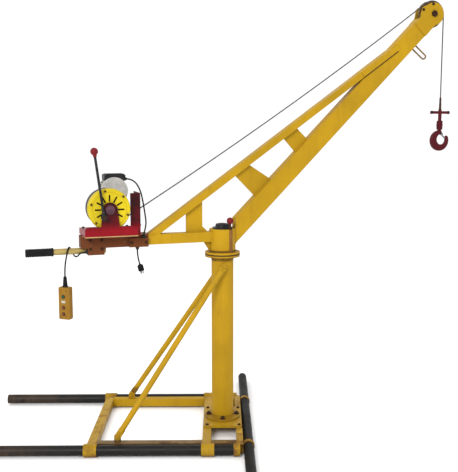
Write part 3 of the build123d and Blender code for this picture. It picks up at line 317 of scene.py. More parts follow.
def worn_paint(name, color, dirt_and_shade, bare, rough=0.56, chips=0.68, grime_and_shade=0.5, shaded_above=None, stains=()):
    """Painted steel: cloudy tone, dark streaks, speckled painted shade in the corners, small chips down to
    bare metal.

    The shade heights are a pair in metres between which the paint darkens into a painted shade, and
    stains are rusty bands, each a height, a half width and a strength.
    """
    s = Shader(name)
    cloud = s.ramp(s.noise(3.5, 5), 0.35, 0.7)
    shade = s.mix(cloud, scaled(color, 0.84), scaled(color, 1.1))
    streak = s.ramp(s.noise(26, 6, 0.7, (1, 1, 0.12)), 0.5, 0.78, 0, grime_and_shade * 0.55)
    shade = s.mix(streak, shade, dirt_and_shade)
    # Painted shade: the darker colour laid into corners by an occlusion mask, speckled by noise.
    corner = s.ramp(s.corner_shade(0.03), 0.35, 0.85, grime_and_shade, 0)
    speck = s.ramp(s.noise(60, 8, 0.75), 0.35, 0.65)
    shade = s.mix(s.math("MULTIPLY", corner, speck), shade, dirt_and_shade)
    # Painted shade: above the first height the paint darkens, mottled by noise.
    if shaded_above:
        height = s.ramp(s.axis(2), *shaded_above, 0, 0.95)
        blot = s.ramp(s.noise(13, 6, 0.7), 0.3, 0.6, 0.55, 1)
        shade = s.mix(s.math("MULTIPLY", height, blot), shade, dirt_and_shade)
    for level, half, strength in stains:
        away = s.math("ABSOLUTE", s.math("SUBTRACT", s.axis(2), level), 0)
        band = s.ramp(away, half * 0.6, half, strength, 0)
        blot = s.ramp(s.noise(17, 6, 0.7), 0.3, 0.55, 0.5, 1)
        shade = s.mix(s.math("MULTIPLY", band, blot), shade, STAIN)
    chip = s.ramp(s.noise(38, 9, 0.8), chips, chips + 0.02)
    shade = s.mix(chip, shade, bare)
    s.bump(s.noise(90, 3), 0.06, 0.001)
    gloss = s.ramp(cloud, 0, 1, rough - 0.08, rough + 0.12)
    return s.finish(shade, gloss, s.math("MULTIPLY", chip, 0.5))


def rusty_paint(name, color, dirt_and_shade, rust, spread):
    """Painted steel near the ground, with broad rust and mud patches, and painted shade in its corners."""
    s = Shader(name)
    cloud = s.ramp(s.noise(5, 6), 0.35, 0.7)
    shade = s.mix(cloud, scaled(color, 0.8), scaled(color, 1.1))
    mud = s.ramp(s.noise(9, 7, 0.72), 0.46, 0.64, 0, spread)
    shade = s.mix(mud, shade, dirt_and_shade)
    # Painted shade: the darker colour laid into corners by an occlusion mask.
    corner = s.ramp(s.corner_shade(0.04), 0.3, 0.9, 0.75, 0)
    shade = s.mix(corner, shade, dirt_and_shade)
    patch = s.ramp(s.noise(16, 9, 0.8), 0.6, 0.66, 0, 0.9)
    shade = s.mix(patch, shade, rust)
    s.bump(s.noise(70, 4), 0.12, 0.001)
    return s.finish(shade, s.ramp(mud, 0, 1, 0.42, 0.75))


def plain_finish(name, color, second, rough, metal, scale=40.0, bump=0.1, stretch=None):
    """A finish of two close tones with a fine grain, and painted shade in its corners."""
    s = Shader(name)
    fac = s.ramp(s.noise(scale, 6, 0.65, stretch), 0.35, 0.68)
    shade = s.mix(fac, color, second)
    # Painted shade: a darker tone of the colour in the corners, from an occlusion mask.
    corner = s.ramp(s.corner_shade(0.01), 0.3, 0.9, 0.6, 0)
    shade = s.mix(corner, shade, scaled(color, 0.35))
    s.bump(fac, bump, 0.0006)
    return s.finish(shade, s.ramp(fac, 0, 1, rough, min(1, rough + 0.18)), metal)


def pipe_finish(name, paint, shine):
    """Black paint on steel pipe, rubbed bluish and rusting towards the free ends."""
    s = Shader(name)
    fac = s.ramp(s.noise(14, 7, 0.7), 0.4, 0.72)
    shade = s.mix(fac, paint, (0.013, 0.012, 0.011))
    end = s.ramp(s.axis(0), -1.18, -0.75, 0.85, 0)
    rust = s.math("MULTIPLY", end, s.ramp(s.noise(22, 8, 0.8), 0.36, 0.62))
    shade = s.mix(rust, shade, (0.075, 0.04, 0.022))
    spot = s.ramp(s.noise(48, 9, 0.8), 0.64, 0.7, 0, 0.7)
    shade = s.mix(spot, shade, (0.07, 0.035, 0.016))
    s.bump(fac, 0.15, 0.0008)
    return s.finish(shade, s.ramp(fac, 0, 1, 0.4, 0.65), 0, shine)


def rope_finish(name):
    """Twisted steel wire rope, darker between its strands and lighter on them."""
    s = Shader(name)
    source = s.add("Mapping", {"Vector": s.place, "Rotation": (0.3, 0.7, 0.5)}, "Vector")
    wave = s.add("TexWave", {"Vector": source, "Scale": 85, "Distortion": 1.2}, "Fac")
    shade = s.mix(wave, (0.025, 0.025, 0.028), (0.12, 0.12, 0.125))
    s.bump(wave, 0.6, 0.001)
    return s.finish(shade, 0.55, 0.35)


def tint(default, name):
    """A colour that the user can change."""
    return bpy.props.FloatVectorProperty(
        name=name, description="Base colour of the finish", subtype="COLOR", default=default, min=0.0, max=1.0
    )


class CranePaint(bpy.types.PropertyGroup):
    """Colours of the crane's finishes."""

    yellow: tint((0.375, 0.215, 0.005), "Jib and post yellow")
    # This colour marks streaks on the yellow and is also its painted shade in corners.
    yellow_grime_and_shade: tint((0.15, 0.075, 0.012), "Grime on the yellow")
    ground: tint((0.37, 0.215, 0.007), "Ground frame yellow")
    cover: tint((0.50, 0.385, 0.008), "Gear cover yellow")
    crimson: tint((0.20, 0.002, 0.007), "Winch base crimson")
    brown: tint((0.11, 0.032, 0.009), "Winch mount brown")
    pipe: tint((0.0045, 0.004, 0.0032), "Leg pipe black")
    zinc: tint((0.38, 0.29, 0.10), "Handle bar plating")
    hook: tint((0.07, 0.004, 0.008), "Hook red")
    pendant: tint((0.25, 0.125, 0.013), "Pendant orange")
    motor: tint((0.50, 0.49, 0.46), "Motor silver")
    black: tint((0.010, 0.010, 0.011), "Black plastic")


def size(default, name, text):
    """A size in millimetres that the user can change."""
    return bpy.props.FloatProperty(name=name, description=text, default=default, min=0.5, max=200.0)


class CraneSizes(bpy.types.PropertyGroup):
    """Sizes of the fittings, in millimetres."""

    foot_bolt: size(11.5, "Foot bolt", "Thread of the post's foot bolts, mm")
    frame_bolt: size(9.0, "Frame bolt", "Thread of the brace and plate bolts, mm")
    small_bolt: size(5.0, "Small bolt", "Thread of the winch's bolts, mm")
    weld: size(3.0, "Weld bead", "Radius of a weld bead, mm")
    rope: size(3.0, "Rope radius", "Radius of the rope on the drum, mm")
    cord: size(3.5, "Cable radius", "Radius of the electric cables, mm")
    button: size(6.5, "Button radius", "Radius of a pendant button, mm")


NODE_FINISHES = {
    "yellow": "front_brace rear_rail tail_beam main_beam upper_chord lower_web middle_web upper_web "
    "near_head_cheek far_head_cheek",
    "brace": "rear_brace",
    "slewing": "post slew_sleeve",
    "rail": "front_rail front_short_rail",
    "rusted": "rear_short_rail left_cross_beam right_cross_beam",
    "ground": "middle_cross_beam post_base_plate",
    "cover": "gear_cover rear_housing",
    "crimson": "winch_base drum_guard",
    "brown": "winch_mount",
    "pipe": "front_leg_pipe rear_leg_pipe",
    "cross": "cross_pipe",
    "zinc": "handle_bar",
    "steel": "rope_drum hook_latch",
    "greasy": "head_sheave anchor_loop",
    "bolt": "sheave_axle",
    "hook": "limit_bar hook_swivel lifting_hook",
    "pendant": "pendant_box",
    "motor": "winch_motor",
    "black": "bearing_cap motor_terminal_box clutch_lever",
    "rubber": "handle_grip pendant_cable motor_cable power_lead power_plug",
    "rope": "hoist_rope",
    "ball": "slew_lock_knob",
}
# Rusty bands on the post and its head: height and half width in metres, and strength
SLEWING_STAINS = ((0.905, 0.005, 0.85), (0.888, 0.005, 0.8), (0.868, 0.014, 0.7), (0.07, 0.014, 0.45))
BRACE_STAINS = ((0.08, 0.05, 0.75),)


def painted_finishes(p):
    """Finishes of the painted steel, from the panel's colours."""
    return dict(
        yellow=worn_paint("yellow_paint", p.yellow, p.yellow_grime_and_shade, RUST),
        slewing=worn_paint("slewing_paint", p.yellow, p.yellow_grime_and_shade, RUST, stains=SLEWING_STAINS),
        brace=worn_paint("brace_paint", p.yellow, p.yellow_grime_and_shade, RUST, stains=BRACE_STAINS),
        # The rails' colour is the frame yellow darkened for the shade they stand in, a painted shade, with
        # rust and mud patches on it.
        rail=rusty_paint("rail_paint", (0.17, 0.10, 0.03), (0.05, 0.022, 0.008), (0.03, 0.012, 0.006), 0.8),
        rusted=rusty_paint("rusted_paint", p.ground, (0.12, 0.05, 0.012), (0.05, 0.016, 0.007), 0.9),
        ground=rusty_paint("ground_paint", p.ground, (0.15, 0.08, 0.012), (0.09, 0.028, 0.014), 0.45),
        cover=worn_paint("cover_paint", p.cover, (0.24, 0.16, 0.02), RUST, 0.38, 0.72, 0.4),
        # The crimson darkens above the winch base, a painted shade on the drum guard.
        crimson=worn_paint(
            "crimson_paint", p.crimson, (0.012, 0.002, 0.003), RUST, 0.36, 0.7, 0.5, shaded_above=(1.035, 1.075)
        ),
        brown=worn_paint("brown_paint", p.brown, (0.04, 0.013, 0.007), (0.2, 0.1, 0.05), 0.6, 0.62, 0.6),
        hook=worn_paint("hook_paint", p.hook, (0.03, 0.008, 0.008), (0.14, 0.08, 0.07), 0.4, 0.7, 0.4),
        hub=plain_finish("hub_paint", (0.10, 0.045, 0.06), (0.05, 0.02, 0.03), 0.4, 0),
        guide=plain_finish("guide_paint", (0.20, 0.09, 0.02), (0.14, 0.06, 0.014), 0.5, 0, 30, 0.02),
        pipe=pipe_finish("dark_pipe", p.pipe, 0.17),
        cross=pipe_finish("cross_pipe_paint", p.pipe, 0.05),
    )


def metal_finishes(p):
    """Finishes of the bare and plated metal."""
    return dict(
        zinc=plain_finish("zinc_plate", p.zinc, (0.27, 0.20, 0.07), 0.35, 0.35, 30, 0.1, (1, 1, 4)),
        steel=plain_finish("bare_steel", (0.30, 0.30, 0.31), (0.16, 0.15, 0.145), 0.38, 0.8),
        greasy=plain_finish("greasy_steel", (0.20, 0.13, 0.05), (0.09, 0.055, 0.022), 0.5, 0.3),
        bolt=plain_finish("dark_bolt", (0.022, 0.010, 0.004), (0.05, 0.022, 0.009), 0.55, 0),
        motor=plain_finish("motor_silver", p.motor, scaled(p.motor, 0.62), 0.42, 0.15, 26),
        rope=rope_finish("wire_rope"),
    )


def plastic_finishes(p):
    """Finishes of the plastic and rubber pieces."""
    return dict(
        pendant=plain_finish("pendant_plastic", p.pendant, scaled(p.pendant, 0.78), 0.42, 0, 18, 0.05),
        black=plain_finish("black_plastic", p.black, (0.024, 0.024, 0.026), 0.38, 0, 50),
        rubber=plain_finish("black_rubber", (0.0045, 0.0043, 0.0045), (0.011, 0.0105, 0.011), 0.6, 0, 70),
        ball=plain_finish("red_ball", (0.17, 0.010, 0.012), (0.12, 0.008, 0.010), 0.22, 0, 8, 0.02),
        green=plain_finish("green_button", (0.02, 0.07, 0.045), (0.012, 0.05, 0.03), 0.3, 0, 30, 0.02),
        button=plain_finish("brown_button", (0.13, 0.035, 0.014), (0.09, 0.022, 0.01), 0.35, 0, 30, 0.02),
        white=plain_finish("pale_label", (0.42, 0.40, 0.34), (0.34, 0.32, 0.27), 0.5, 0, 60, 0.02),
        tan=plain_finish("tan_gasket", (0.42, 0.27, 0.12), (0.30, 0.19, 0.08), 0.6, 0, 40),
    )


class CRANE_OT_finishes(bpy.types.Operator):
    """Gives every piece of the crane its finish"""

    bl_idname = "crane.finishes"
    bl_label = "Finishes"

    def execute(self, context):
        paint = context.scene.crane_paint
        for finishes in (painted_finishes, metal_finishes, plastic_finishes):
            FINISH.update(finishes(paint))
        for finish, names in NODE_FINISHES.items():
            for name in names.split():
                materials = NODES[name].data.materials
                materials.clear()
                materials.append(FINISH[finish])
        return {"FINISHED"}


# Cords


def cable(name, node, route, radius):
    """One smooth cable through its route's points, in place of its plain solid."""
    data = bpy.data.curves.new(name, "CURVE")
    data.dimensions = "3D"
    data.bevel_depth = radius / 1000
    data.bevel_resolution = 4
    data.use_fill_caps = True
    spline = data.splines.new("NURBS")
    spline.points.add(len(route) - 1)
    for point, place in zip(spline.points, route):
        point.co = (*jib(*place), 1.0)
    spline.order_u = 3
    spline.use_endpoint_u = True
    spline.resolution_u = 10
    piece = bpy.data.objects.new(name, data)
    bpy.context.scene.collection.objects.link(piece)
    data.materials.append(FINISH["rubber"])
    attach(piece, "jib")
    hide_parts(node)
    return piece


PENDANT_ROUTE = (
    (-658.3, 931.3, 26),
    (-692, 931.3, 26),
    (-705, 909.2, 12.75),
    (-715, 909.2, -12.75),
    (-725, 931.3, -25.5),
    (-735, 953.4, -12.75),
    (-745, 953.4, 12.75),
    (-755, 917.3, 27),
    (-762, 882, 26),
    (-764, 846, 22),
    (-764, 822.3, 22),
    (-764, 764, 22),
)
MOTOR_ROUTE = (
    (-459.7, 1257, -96),
    (-434, 1257, -96),
    (-410, 1240, -64),
    (-400, 1204, -12),
    (-397, 1156, 24),
    (-392, 1108, 34),
    (-385, 1058, 34),
    (-393, 1022, 37),
    (-398, 1008, 37),
    (-398, 988.3, 37),
)
LEAD_ROUTE = (
    (-430, 945.7, 37),
    (-430, 915, 37),
    (-426, 888, 38),
    (-419, 862, 36),
)


class CRANE_OT_cables(bpy.types.Operator):
    """Motor cable and power lead, with the plug"""

    bl_idname = "crane.cables"
    bl_label = "Cables"

    def execute(self, context):
        r = context.scene.crane_sizes.cord
        motor = cable("motor_cable_run", "motor_cable", MOTOR_ROUTE, r)
        run_length(motor)
        plug_pieces = self.plug()
        lead = cable("power_lead_run", "power_lead", LEAD_ROUTE, r)
        run_length(lead)
        return {"FINISHED"}

    def plug(self):
        """Round plug with a ribbed body, and its three pins."""
        end, before = jib(*LEAD_ROUTE[-1]), jib(*LEAD_ROUTE[-2])
        axis = (end - before).normalized()
        f = Form()
        profile = [(3.6, -6), (5.2, -4), (5.2, 0.5), (11.5, 2), (13.2, 4.5)]
        for i in range(6):
            start = 6.5 + i * 2.6
            profile += [(13.9, start), (13.9, start + 1.4), (12.6, start + 1.7), (12.6, start + 2.3)]
        profile += [(13.9, 22.5), (13.9, 29), (13, 30), (0, 30)]
        f.lathe(end, axis, profile, 32)
        plug = f.make("power_plug_body", "rubber")
        f = Form()
        x, y = axes_about(axis)[1:]
        for foot, angle in around(end + axis * 0.030, x, y, 7, 3):
            f.lathe(foot, axis, [(2.4, -1), (2.4, 14), (1.7, 15.6), (0, 16)], 14)
        pins = f.make("power_plug_pins", "steel")
        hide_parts("power_plug")
        return [plug, pins]


def run_length(piece):
    """Length of a curve's own line, in metres."""
    copy = piece.data.copy()
    copy.bevel_depth = 0.0
    probe = bpy.data.objects.new("probe", copy)
    bpy.context.scene.collection.objects.link(probe)
    bpy.context.view_layer.update()
    mesh = bpy.data.meshes.new_from_object(probe)
    points = [v.co.copy() for v in mesh.vertices]
    bpy.data.objects.remove(probe)
    bpy.data.curves.remove(copy)
    bpy.data.meshes.remove(mesh)
    return sum((b - a).length for a, b in zip(points, points[1:]))


# Ground frame

# Rails, leg pipes with their sleeves, and cross beams, in millimetres
RAIL_Y = 300
LEG_Y = 350
SLEEVE_R = 30
CROSS_X = (-608, -76, 80)
CROSS_HALF = 20
CROSS_BASE = 12


class CRANE_OT_ground_fittings(bpy.types.Operator):
    """Bolts and weld beads of the ground frame and the braces"""

    bl_idname = "crane.ground_fittings"
    bl_label = "Ground frame fittings"

    def execute(self, context):
        s = context.scene.crane_sizes
        f = Form()
        for foot, angle in around(world(0, 0, 72), Vector((1, 0, 0)), Vector((0, 1, 0)), 70, 4):
            f.bolt(foot, UP, s.foot_bolt, angle + 0.3, 4)
        f.make("foot_bolts", "bolt", "base")
        f = Form()
        for x in CROSS_X[1:]:
            for y in (-118, 118):
                f.bolt(world(x, y, 60), UP, s.frame_bolt * 0.8, x)
        f.make("base_plate_bolts", "bolt", "base")
        f = Form()
        for side in (-1, 1):
            low, top = world(-489, side * RAIL_Y, 74), world(8, side * 74, 835)
            line = (top - low).normalized()
            out = Vector((0, side, 0))
            out = (out - line * out.dot(line)).normalized()
            for pin in (low, top):
                f.bolt(pin + out * 0.003, out, s.frame_bolt, 0.4)
            f.bolt(low - out * 0.0113, -out, s.frame_bolt, 0.9, 5)
        f.make("brace_bolts", "ground", "base")
        self.welds(s.weld)
        self.post(s)
        return {"FINISHED"}

    def welds(self, size):
        """Beads where the beams meet the sleeves, the rails and the base plate."""
        f = Form()
        for x in CROSS_X[:2]:
            for side in (-1, 1):
                for edge in (-CROSS_HALF, CROSS_HALF):
                    arc = []
                    for k in range(7):
                        z = CROSS_BASE + 36 * k / 6
                        reach = sqrt(SLEEVE_R ** 2 - (z - SLEEVE_R) ** 2)
                        arc.append(world(x + edge, side * (LEG_Y - reach), z))
                    f.bead(arc, size)
        for start, stop in ((-588, -96), (-56, 65)):
            for side in (-1, 1):
                for x in (start, stop):
                    for y in (-CROSS_HALF, CROSS_HALF):
                        f.bead([world(x, side * RAIL_Y + y, z) for z in (CROSS_BASE, 49)], size * 0.8)
                    f.bead([world(x, side * RAIL_Y + y, 50) for y in (-19, 19)], size * 0.8)
        for start, stop in ((-92, -57), (66, 92)):
            for y in (-134, 134):
                f.bead([world(start, y, 50.5), world(stop, y, 50.5)], size)
        f.make("ground_welds", "ground", "base")

    def post(self, sizes):
        """Beads round the post, the seal under the slewing flange, and the collar's bolts."""
        f = Form()
        for level in (72, 876):
            f.bead(circle_points(world(0, 0, level), UP, 55, 40), sizes.weld * 1.2, True)
        f.make("post_welds", "slewing", "base")
        f = Form()
        profile = [(84.5, -2.4), (85.9, -2), (86.3, 0), (85.9, 2), (84.5, 2.4)]
        f.lathe(world(0, 0, 888.3), UP, profile, 72)
        f.make("slewing_seal", "bolt", "base")
        f = Form()
        for foot, angle in around(world(0, 0, 876), ALONG, SIDE, 72, 8, 0.3):
            f.bolt(foot, -UP, sizes.small_bolt, angle)
        f.make("collar_bolts", "bolt", "base")


# Slewing head and jib


class CRANE_OT_head_fittings(bpy.types.Operator):
    """Welds, cap screws and the lock's guide and stem on the slewing head"""

    bl_idname = "crane.head_fittings"
    bl_label = "Slewing head fittings"

    def execute(self, context):
        size = context.scene.crane_sizes.weld
        self.welds(size)
        self.cap()
        self.lock(size)
        return {"FINISHED"}

    def welds(self, size):
        """Beads round the sleeve, and where the beams and the gusset meet it."""
        f = Form()
        f.bead(circle_points(world(0, 0, 900.6), UP, 65, 44), size * 1.1, True)
        half = 25
        steps = [half * (k / 4 - 1) for k in range(9)]

        def reach(side):
            """How far out the sleeve's face is at a distance sideways."""
            return sqrt(64.5 ** 2 - side ** 2)

        for level in (952, 1000):
            f.bead([jib(-reach(s), level, s) for s in steps], size)
        for s in (-half, half):
            f.bead([jib(-reach(half), 952, s), jib(-reach(half), 1000, s)], size)
            f.bead([jib(reach(half), 940, s), jib(reach(half), 1011, s)], size)
        f.bead([jib(reach(s), 879.5 + reach(s), s) for s in steps], size)
        for s in (-4, 4):
            f.bead([jib(-94, 951, s), jib(-67, 908, s)], size * 0.7)
        f.make("slewing_welds", "slewing")

    def cap(self):
        """Screws of the bearing cap, and the disc on its top."""
        f = Form()
        for foot, angle in around(world(0, 0, 1019), ALONG, SIDE, 41.5, 4, 0.6):
            f.screw(foot, UP, 3.6)
        profile = [(22, -0.4), (22, 0.8), (20.5, 1.6), (8, 1.6), (7, 3.2), (3, 3.6), (0, 3.6)]
        f.lathe(world(0, 0, 1036), UP, profile, 32)
        f.make("cap_screws", "bolt")

    def lock(self, size):
        """Guide tube of the slewing lock with its bead, and the lock's stem."""
        f = Form()
        f.lathe(jib(22.5, 901.5, 57.8), UP, [(9, 0), (9, 109), (8.2, 110.5), (5, 110.5)], 24)
        f.bead(circle_points(jib(22.5, 901.8, 57.8), UP, 9.6, 12), size * 0.6, True)
        f.make("lock_guide", "guide")
        f = Form()
        profile = [(9.5, 0.2), (9.5, 3), (6.4, 4), (6.4, 12)]
        profile += [(5.6, 13), (5.6, 27), (7.5, 28), (7.5, 31)]
        f.lathe(jib(21, 1012, 54), UP, profile, 24)
        f.make("lock_stem", "bolt")


# Heights of the beam's upper face and the chord's lower face at the post's axis
BEAM_TOP = 1002.5
CHORD_FOOT = 1225.4
CHORD_RISE = 0.706
# The sheave's axle: along and across the main beam
AXLE = (1607.5, 2.3)


def on_beam(along):
    """Place on the main beam's upper face: along and up."""
    return along, BEAM_TOP + along


def under_chord(along):
    """Place on the upper chord's lower face: along and up."""
    return along, CHORD_FOOT + CHORD_RISE * along


class CRANE_OT_jib_welds(bpy.types.Operator):
    """Weld beads of the webs, the chord and the head's cheeks, and dark lines under the chord that are a
    painted shadow
    """

    bl_idname = "crane.jib_welds"
    bl_label = "Jib welds"

    def execute(self, context):
        size = context.scene.crane_sizes.weld
        f = Form()
        seams = (
            ((-182, 1000), (-78, 1000)),
            (under_chord(-182), under_chord(-105)),
            (on_beam(167), on_beam(245)),
            (under_chord(65), under_chord(133)),
            (on_beam(380), on_beam(440)),
            (under_chord(318), under_chord(384)),
        )
        for s in (-4.6, 4.6):
            for a, b in seams:
                f.bead([jib(*a, s), jib(*b, s)], size)
        for s in (-25.6, 25.6):
            f.bead([jib(-372, 1000.5, s), jib(-338, 1000.5, s)], size)
            f.bead([beam(1494, -42, s * 1.02), beam(1494, 42, s * 1.02)], size * 0.9)
            f.bead([beam(1496, -43.8, s * 1.05), beam(1526, -43.8, s * 1.05)], size * 0.7)
        f.make("jib_welds", "yellow")
        # Painted shadow: dark lines along the chord's lower face where it lies on the beam.
        f = Form()
        for s in (-27.6, 27.6):
            f.bead([jib(*under_chord(742), s), jib(*under_chord(932), s)], size * 0.8)
        f.make("chord_seams", "bolt")
        return {"FINISHED"}


class CRANE_OT_jib_head(bpy.types.Operator):
    """Bolts on the head's cheeks and the ends of the sheave's axle"""

    bl_idname = "crane.jib_head"
    bl_label = "Jib head fittings"

    def execute(self, context):
        f = Form()
        for side in (-1, 1):
            for along, across in ((1574, 60), (1636, 42)):
                f.bolt(beam(along, across, side * 31), SIDE * side, 6.5, along)
        f.make("cheek_bolts", "bolt")
        f = Form()
        profile = [(12.2, 0.2), (12.2, 1.6), (10.6, 2.6), (5, 2.6), (4, 1.2), (0, 1.2)]
        for side in (-1, 1):
            f.lathe(beam(*AXLE, side * 37), SIDE * side, profile, 24)
            ends = [beam(AXLE[0], AXLE[1] + reach, side * 38.4) for reach in (-17.3, 17.3)]
            f.tube(ends, 1.5, 8)
        f.make("axle_ends", "bolt")
        return {"FINISHED"}


# Winch

# Places along the jib and up, and distances towards its near side
HUB = (-566, 1130)
MOTOR = (-516, 1204)
LEVER_PIN = (-596, 1098)
LEVER_BALL = (-634, 1392)
LEVER_SIDE = 124
DRUM_R = 86
ROPE_SIDE = 12


class CRANE_OT_gear_cover(bpy.types.Operator):
    """Dark slot plates and a neck band as painted shade, with bolts, boss and rims of the gear cover and the
    rear housing
    """

    bl_idname = "crane.gear_cover"
    bl_label = "Gear cover fittings"

    def execute(self, context):
        self.slot_shades()
        self.bolts(context.scene.crane_sizes.small_bolt)
        self.hub()
        return {"FINISHED"}

    def slot_shades(self):
        """Dark barred plates in the cover's twelve slots, painted shade in their depth."""
        face = jib(*HUB, 91)
        f = Form()
        for middle, angle in around(face, ALONG, UP, 52, 12):
            x = ALONG * cos(angle) + UP * sin(angle)
            y = UP * cos(angle) - ALONG * sin(angle)
            f.slab(middle, -x, y, 31.4, 7.4, 1.2, 3.6, 0.2)
            for step in (-9, -3, 3, 9):
                foot = middle + (x * step + SIDE * 1.6) / 1000
                f.tube([foot - y * 0.0034, foot + y * 0.0034], 0.7, 6)
        f.make("cover_grilles", "black")

    def bolts(self, small):
        """Bolts round the cover's face, its rim and the rear housing."""
        f = Form()
        for foot, angle in around(jib(*HUB, 100), ALONG, UP, 86, 6, radians(43)):
            f.bolt(foot, SIDE, small * 0.9, angle)
        for foot, angle in around(jib(*HUB, 62), ALONG, UP, 84, 10, 0.2):
            f.bolt(foot, SIDE, small, angle)
        for foot, angle in around(jib(*HUB, -48), ALONG, UP, 76, 10, 0.1):
            if (foot - jib(*MOTOR, -48)).length > 0.072:
                f.bolt(foot, -SIDE, small, angle)
        f.make("winch_case_bolts", "bolt")

    def hub(self):
        """Bearing boss, a dark band round the neck as a painted shadow, and the rims of the two discs."""
        f = Form()
        profile = [(21, -0.3), (21, 0.8), (19.5, 1.8), (13, 1.8), (12, 2.8)]
        profile += [(8.5, 3.4), (5, 3.4), (4.4, 2.2), (0, 2.2)]
        f.lathe(jib(*HUB, 112), SIDE, profile, 32)
        f.make("bearing_boss", "hub")
        # Painted shadow: a dark band round the neck between the two discs.
        f = Form()
        f.lathe(jib(*HUB, 70), SIDE, [(63, -7.7), (63.6, -6.5), (63.6, -1.5), (63, -0.3)], 48)
        f.make("neck_band", "bolt")
        f = Form()
        f.lathe(jib(*HUB, 85), SIDE, [(95, -1.6), (96.2, -0.9), (96.2, 0.9), (95, 1.6)], 72)
        f.lathe(jib(*HUB, 46), SIDE, [(92, -2.4), (93.4, -1.4), (93.4, 1.4), (92, 2.4)], 72)
        f.make("case_rims", "cover")


class CRANE_OT_drum(bpy.types.Operator):
    """Rope wound on the drum"""

    bl_idname = "crane.drum"
    bl_label = "Rope on the drum"

    def execute(self, context):
        r = context.scene.crane_sizes.rope
        leave = radians(-58.6)
        pitch, low, high = 2 * r + 0.15, -28.2, 26
        turns = (high - low) / pitch
        start = leave - 2 * pi * (ROPE_SIDE - low) / pitch
        count = int(turns * 40)
        line = []
        for i in range(count + 1):
            a = start + 2 * pi * turns * i / count
            side = low + (high - low) * i / count
            line.append(jib(*HUB, side) + (ALONG * cos(a) + UP * sin(a)) * DRUM_R / 1000)
        f = Form()
        f.tube(line, r, 8)
        f.make("drum_winding", "rope")
        return {"FINISHED"}


class CRANE_OT_motor(bpy.types.Operator):
    """Cowl, screws, terminal lid and glands of the motor"""

    bl_idname = "crane.motor"
    bl_label = "Motor fittings"

    def execute(self, context):
        self.cowl()
        self.terminals()
        self.glands()
        return {"FINISHED"}

    def cowl(self):
        """Fan cowl with its rings, the front ring, and the cowl's screws."""
        back, far = -SIDE, jib(*MOTOR, -144)
        f = Form()
        profile = [(61.5, -14), (63.4, -13), (63.4, -2), (60.5, 0.4), (56, 2.6)]
        for ring in (50, 42, 34, 26, 18):
            profile += [(ring, 2.6), (ring - 0.6, 0.6), (ring - 3.4, 0.6), (ring - 4, 2.6)]
        profile += [(8, 2.6), (0, 2.6)]
        f.lathe(far, back, profile, 48)
        f.lathe(jib(*MOTOR, -48), back, [(62, 0.2), (63.6, 1.2), (63.6, 12.6), (62, 13.8)], 48)
        f.make("motor_cowl", "motor")
        f = Form()
        for foot, angle in around(far - SIDE * 0.0024, ALONG, UP, 53.5, 4, 0.8):
            f.screw(foot, back, 3.2)
        for foot, angle in around(jib(*MOTOR, -137), ALONG, UP, 63.2, 4, 0.5):
            f.screw(foot, ALONG * cos(angle) + UP * sin(angle), 3)
        f.make("motor_screws", "bolt")

    def terminals(self):
        """Lid of the terminal box and its screws."""
        f = Form()
        f.slab(jib(-510, 1279, -100), ALONG, -SIDE, 92, 64, 2.6, 6, 1)
        f.slab(jib(-510, 1281.4, -100), ALONG, -SIDE, 74, 46, 1.6, 5, 0.8)
        f.make("terminal_lid", "black")
        f = Form()
        for u in (-549, -471):
            for s in (-74, -126):
                f.screw(jib(u, 1281.5, s), UP, 2.8)
        f.make("terminal_screws", "steel")

    def glands(self):
        """Glands where the cables leave the terminal box and the mount."""
        f = Form()
        gland = [(9.5, 0.1), (9.5, 4.5), (8.2, 5.2), (8.2, 8.5), (5.2, 12.5), (3.7, 13)]
        for place, way in (
            ((-460, 1257, -96), ALONG),
            ((-398, 988, 37), UP),
            ((-430, 946, 37), -UP),
            ((-658, 931.3, 26), -ALONG),
        ):
            f.lathe(jib(*place), way, gland, 6)
        f.make("cable_glands", "black")


class CRANE_OT_winch_mount(bpy.types.Operator):
    """Bolts of the winch base, its mount and the guard, and the gasket between"""

    bl_idname = "crane.winch_mount"
    bl_label = "Winch mount fittings"

    def execute(self, context):
        sizes = context.scene.crane_sizes
        self.bolts(sizes.small_bolt)
        self.gasket()
        self.guard_welds(sizes.weld)
        return {"FINISHED"}

    def bolts(self, small):
        """Bolts on the mount's sides, on the base and through the guard."""
        f = Form()
        for side in (-1, 1):
            for u, z in ((-456, 967), (-388, 967)):
                f.bolt(jib(u, z, side * 42.3), SIDE * side, small * 1.3, u)
            for u, z in ((-646, 944), (-594, 944), (-646, 984), (-594, 984)):
                f.bolt(jib(u, z, side * 31.3), SIDE * side, small * 1.2, u)
        for u, s in ((-664, 94), (-458, 94), (-664, -62), (-458, -62)):
            f.bolt(jib(u, 1034, s), UP, small * 1.3, u)
        for s in (-48, 0, 48):
            f.bolt(jib(-418, 1050 if s else 1030, s), ALONG, small, s)
        f.make("mount_bolts", "bolt")

    def gasket(self):
        """Strips of gasket that show under the base."""
        f = Form()
        f.slab(jib(-560.5, 1009, 112), ALONG, UP, 240, 4.6, 0.9, 1, 0.3)
        f.slab(jib(-533.5, 1005, 31.3), ALONG, UP, 300, 3.2, 0.8, 1, 0.3)
        f.make("base_gasket", "tan")

    def guard_welds(self, size):
        """Beads along both faces of the guard's foot."""
        f = Form()
        for u in (-424.6, -417.4):
            f.bead([jib(u, 1007, s) for s in (-30, 30)], size * 0.8)
        f.make("guard_welds", "crimson")


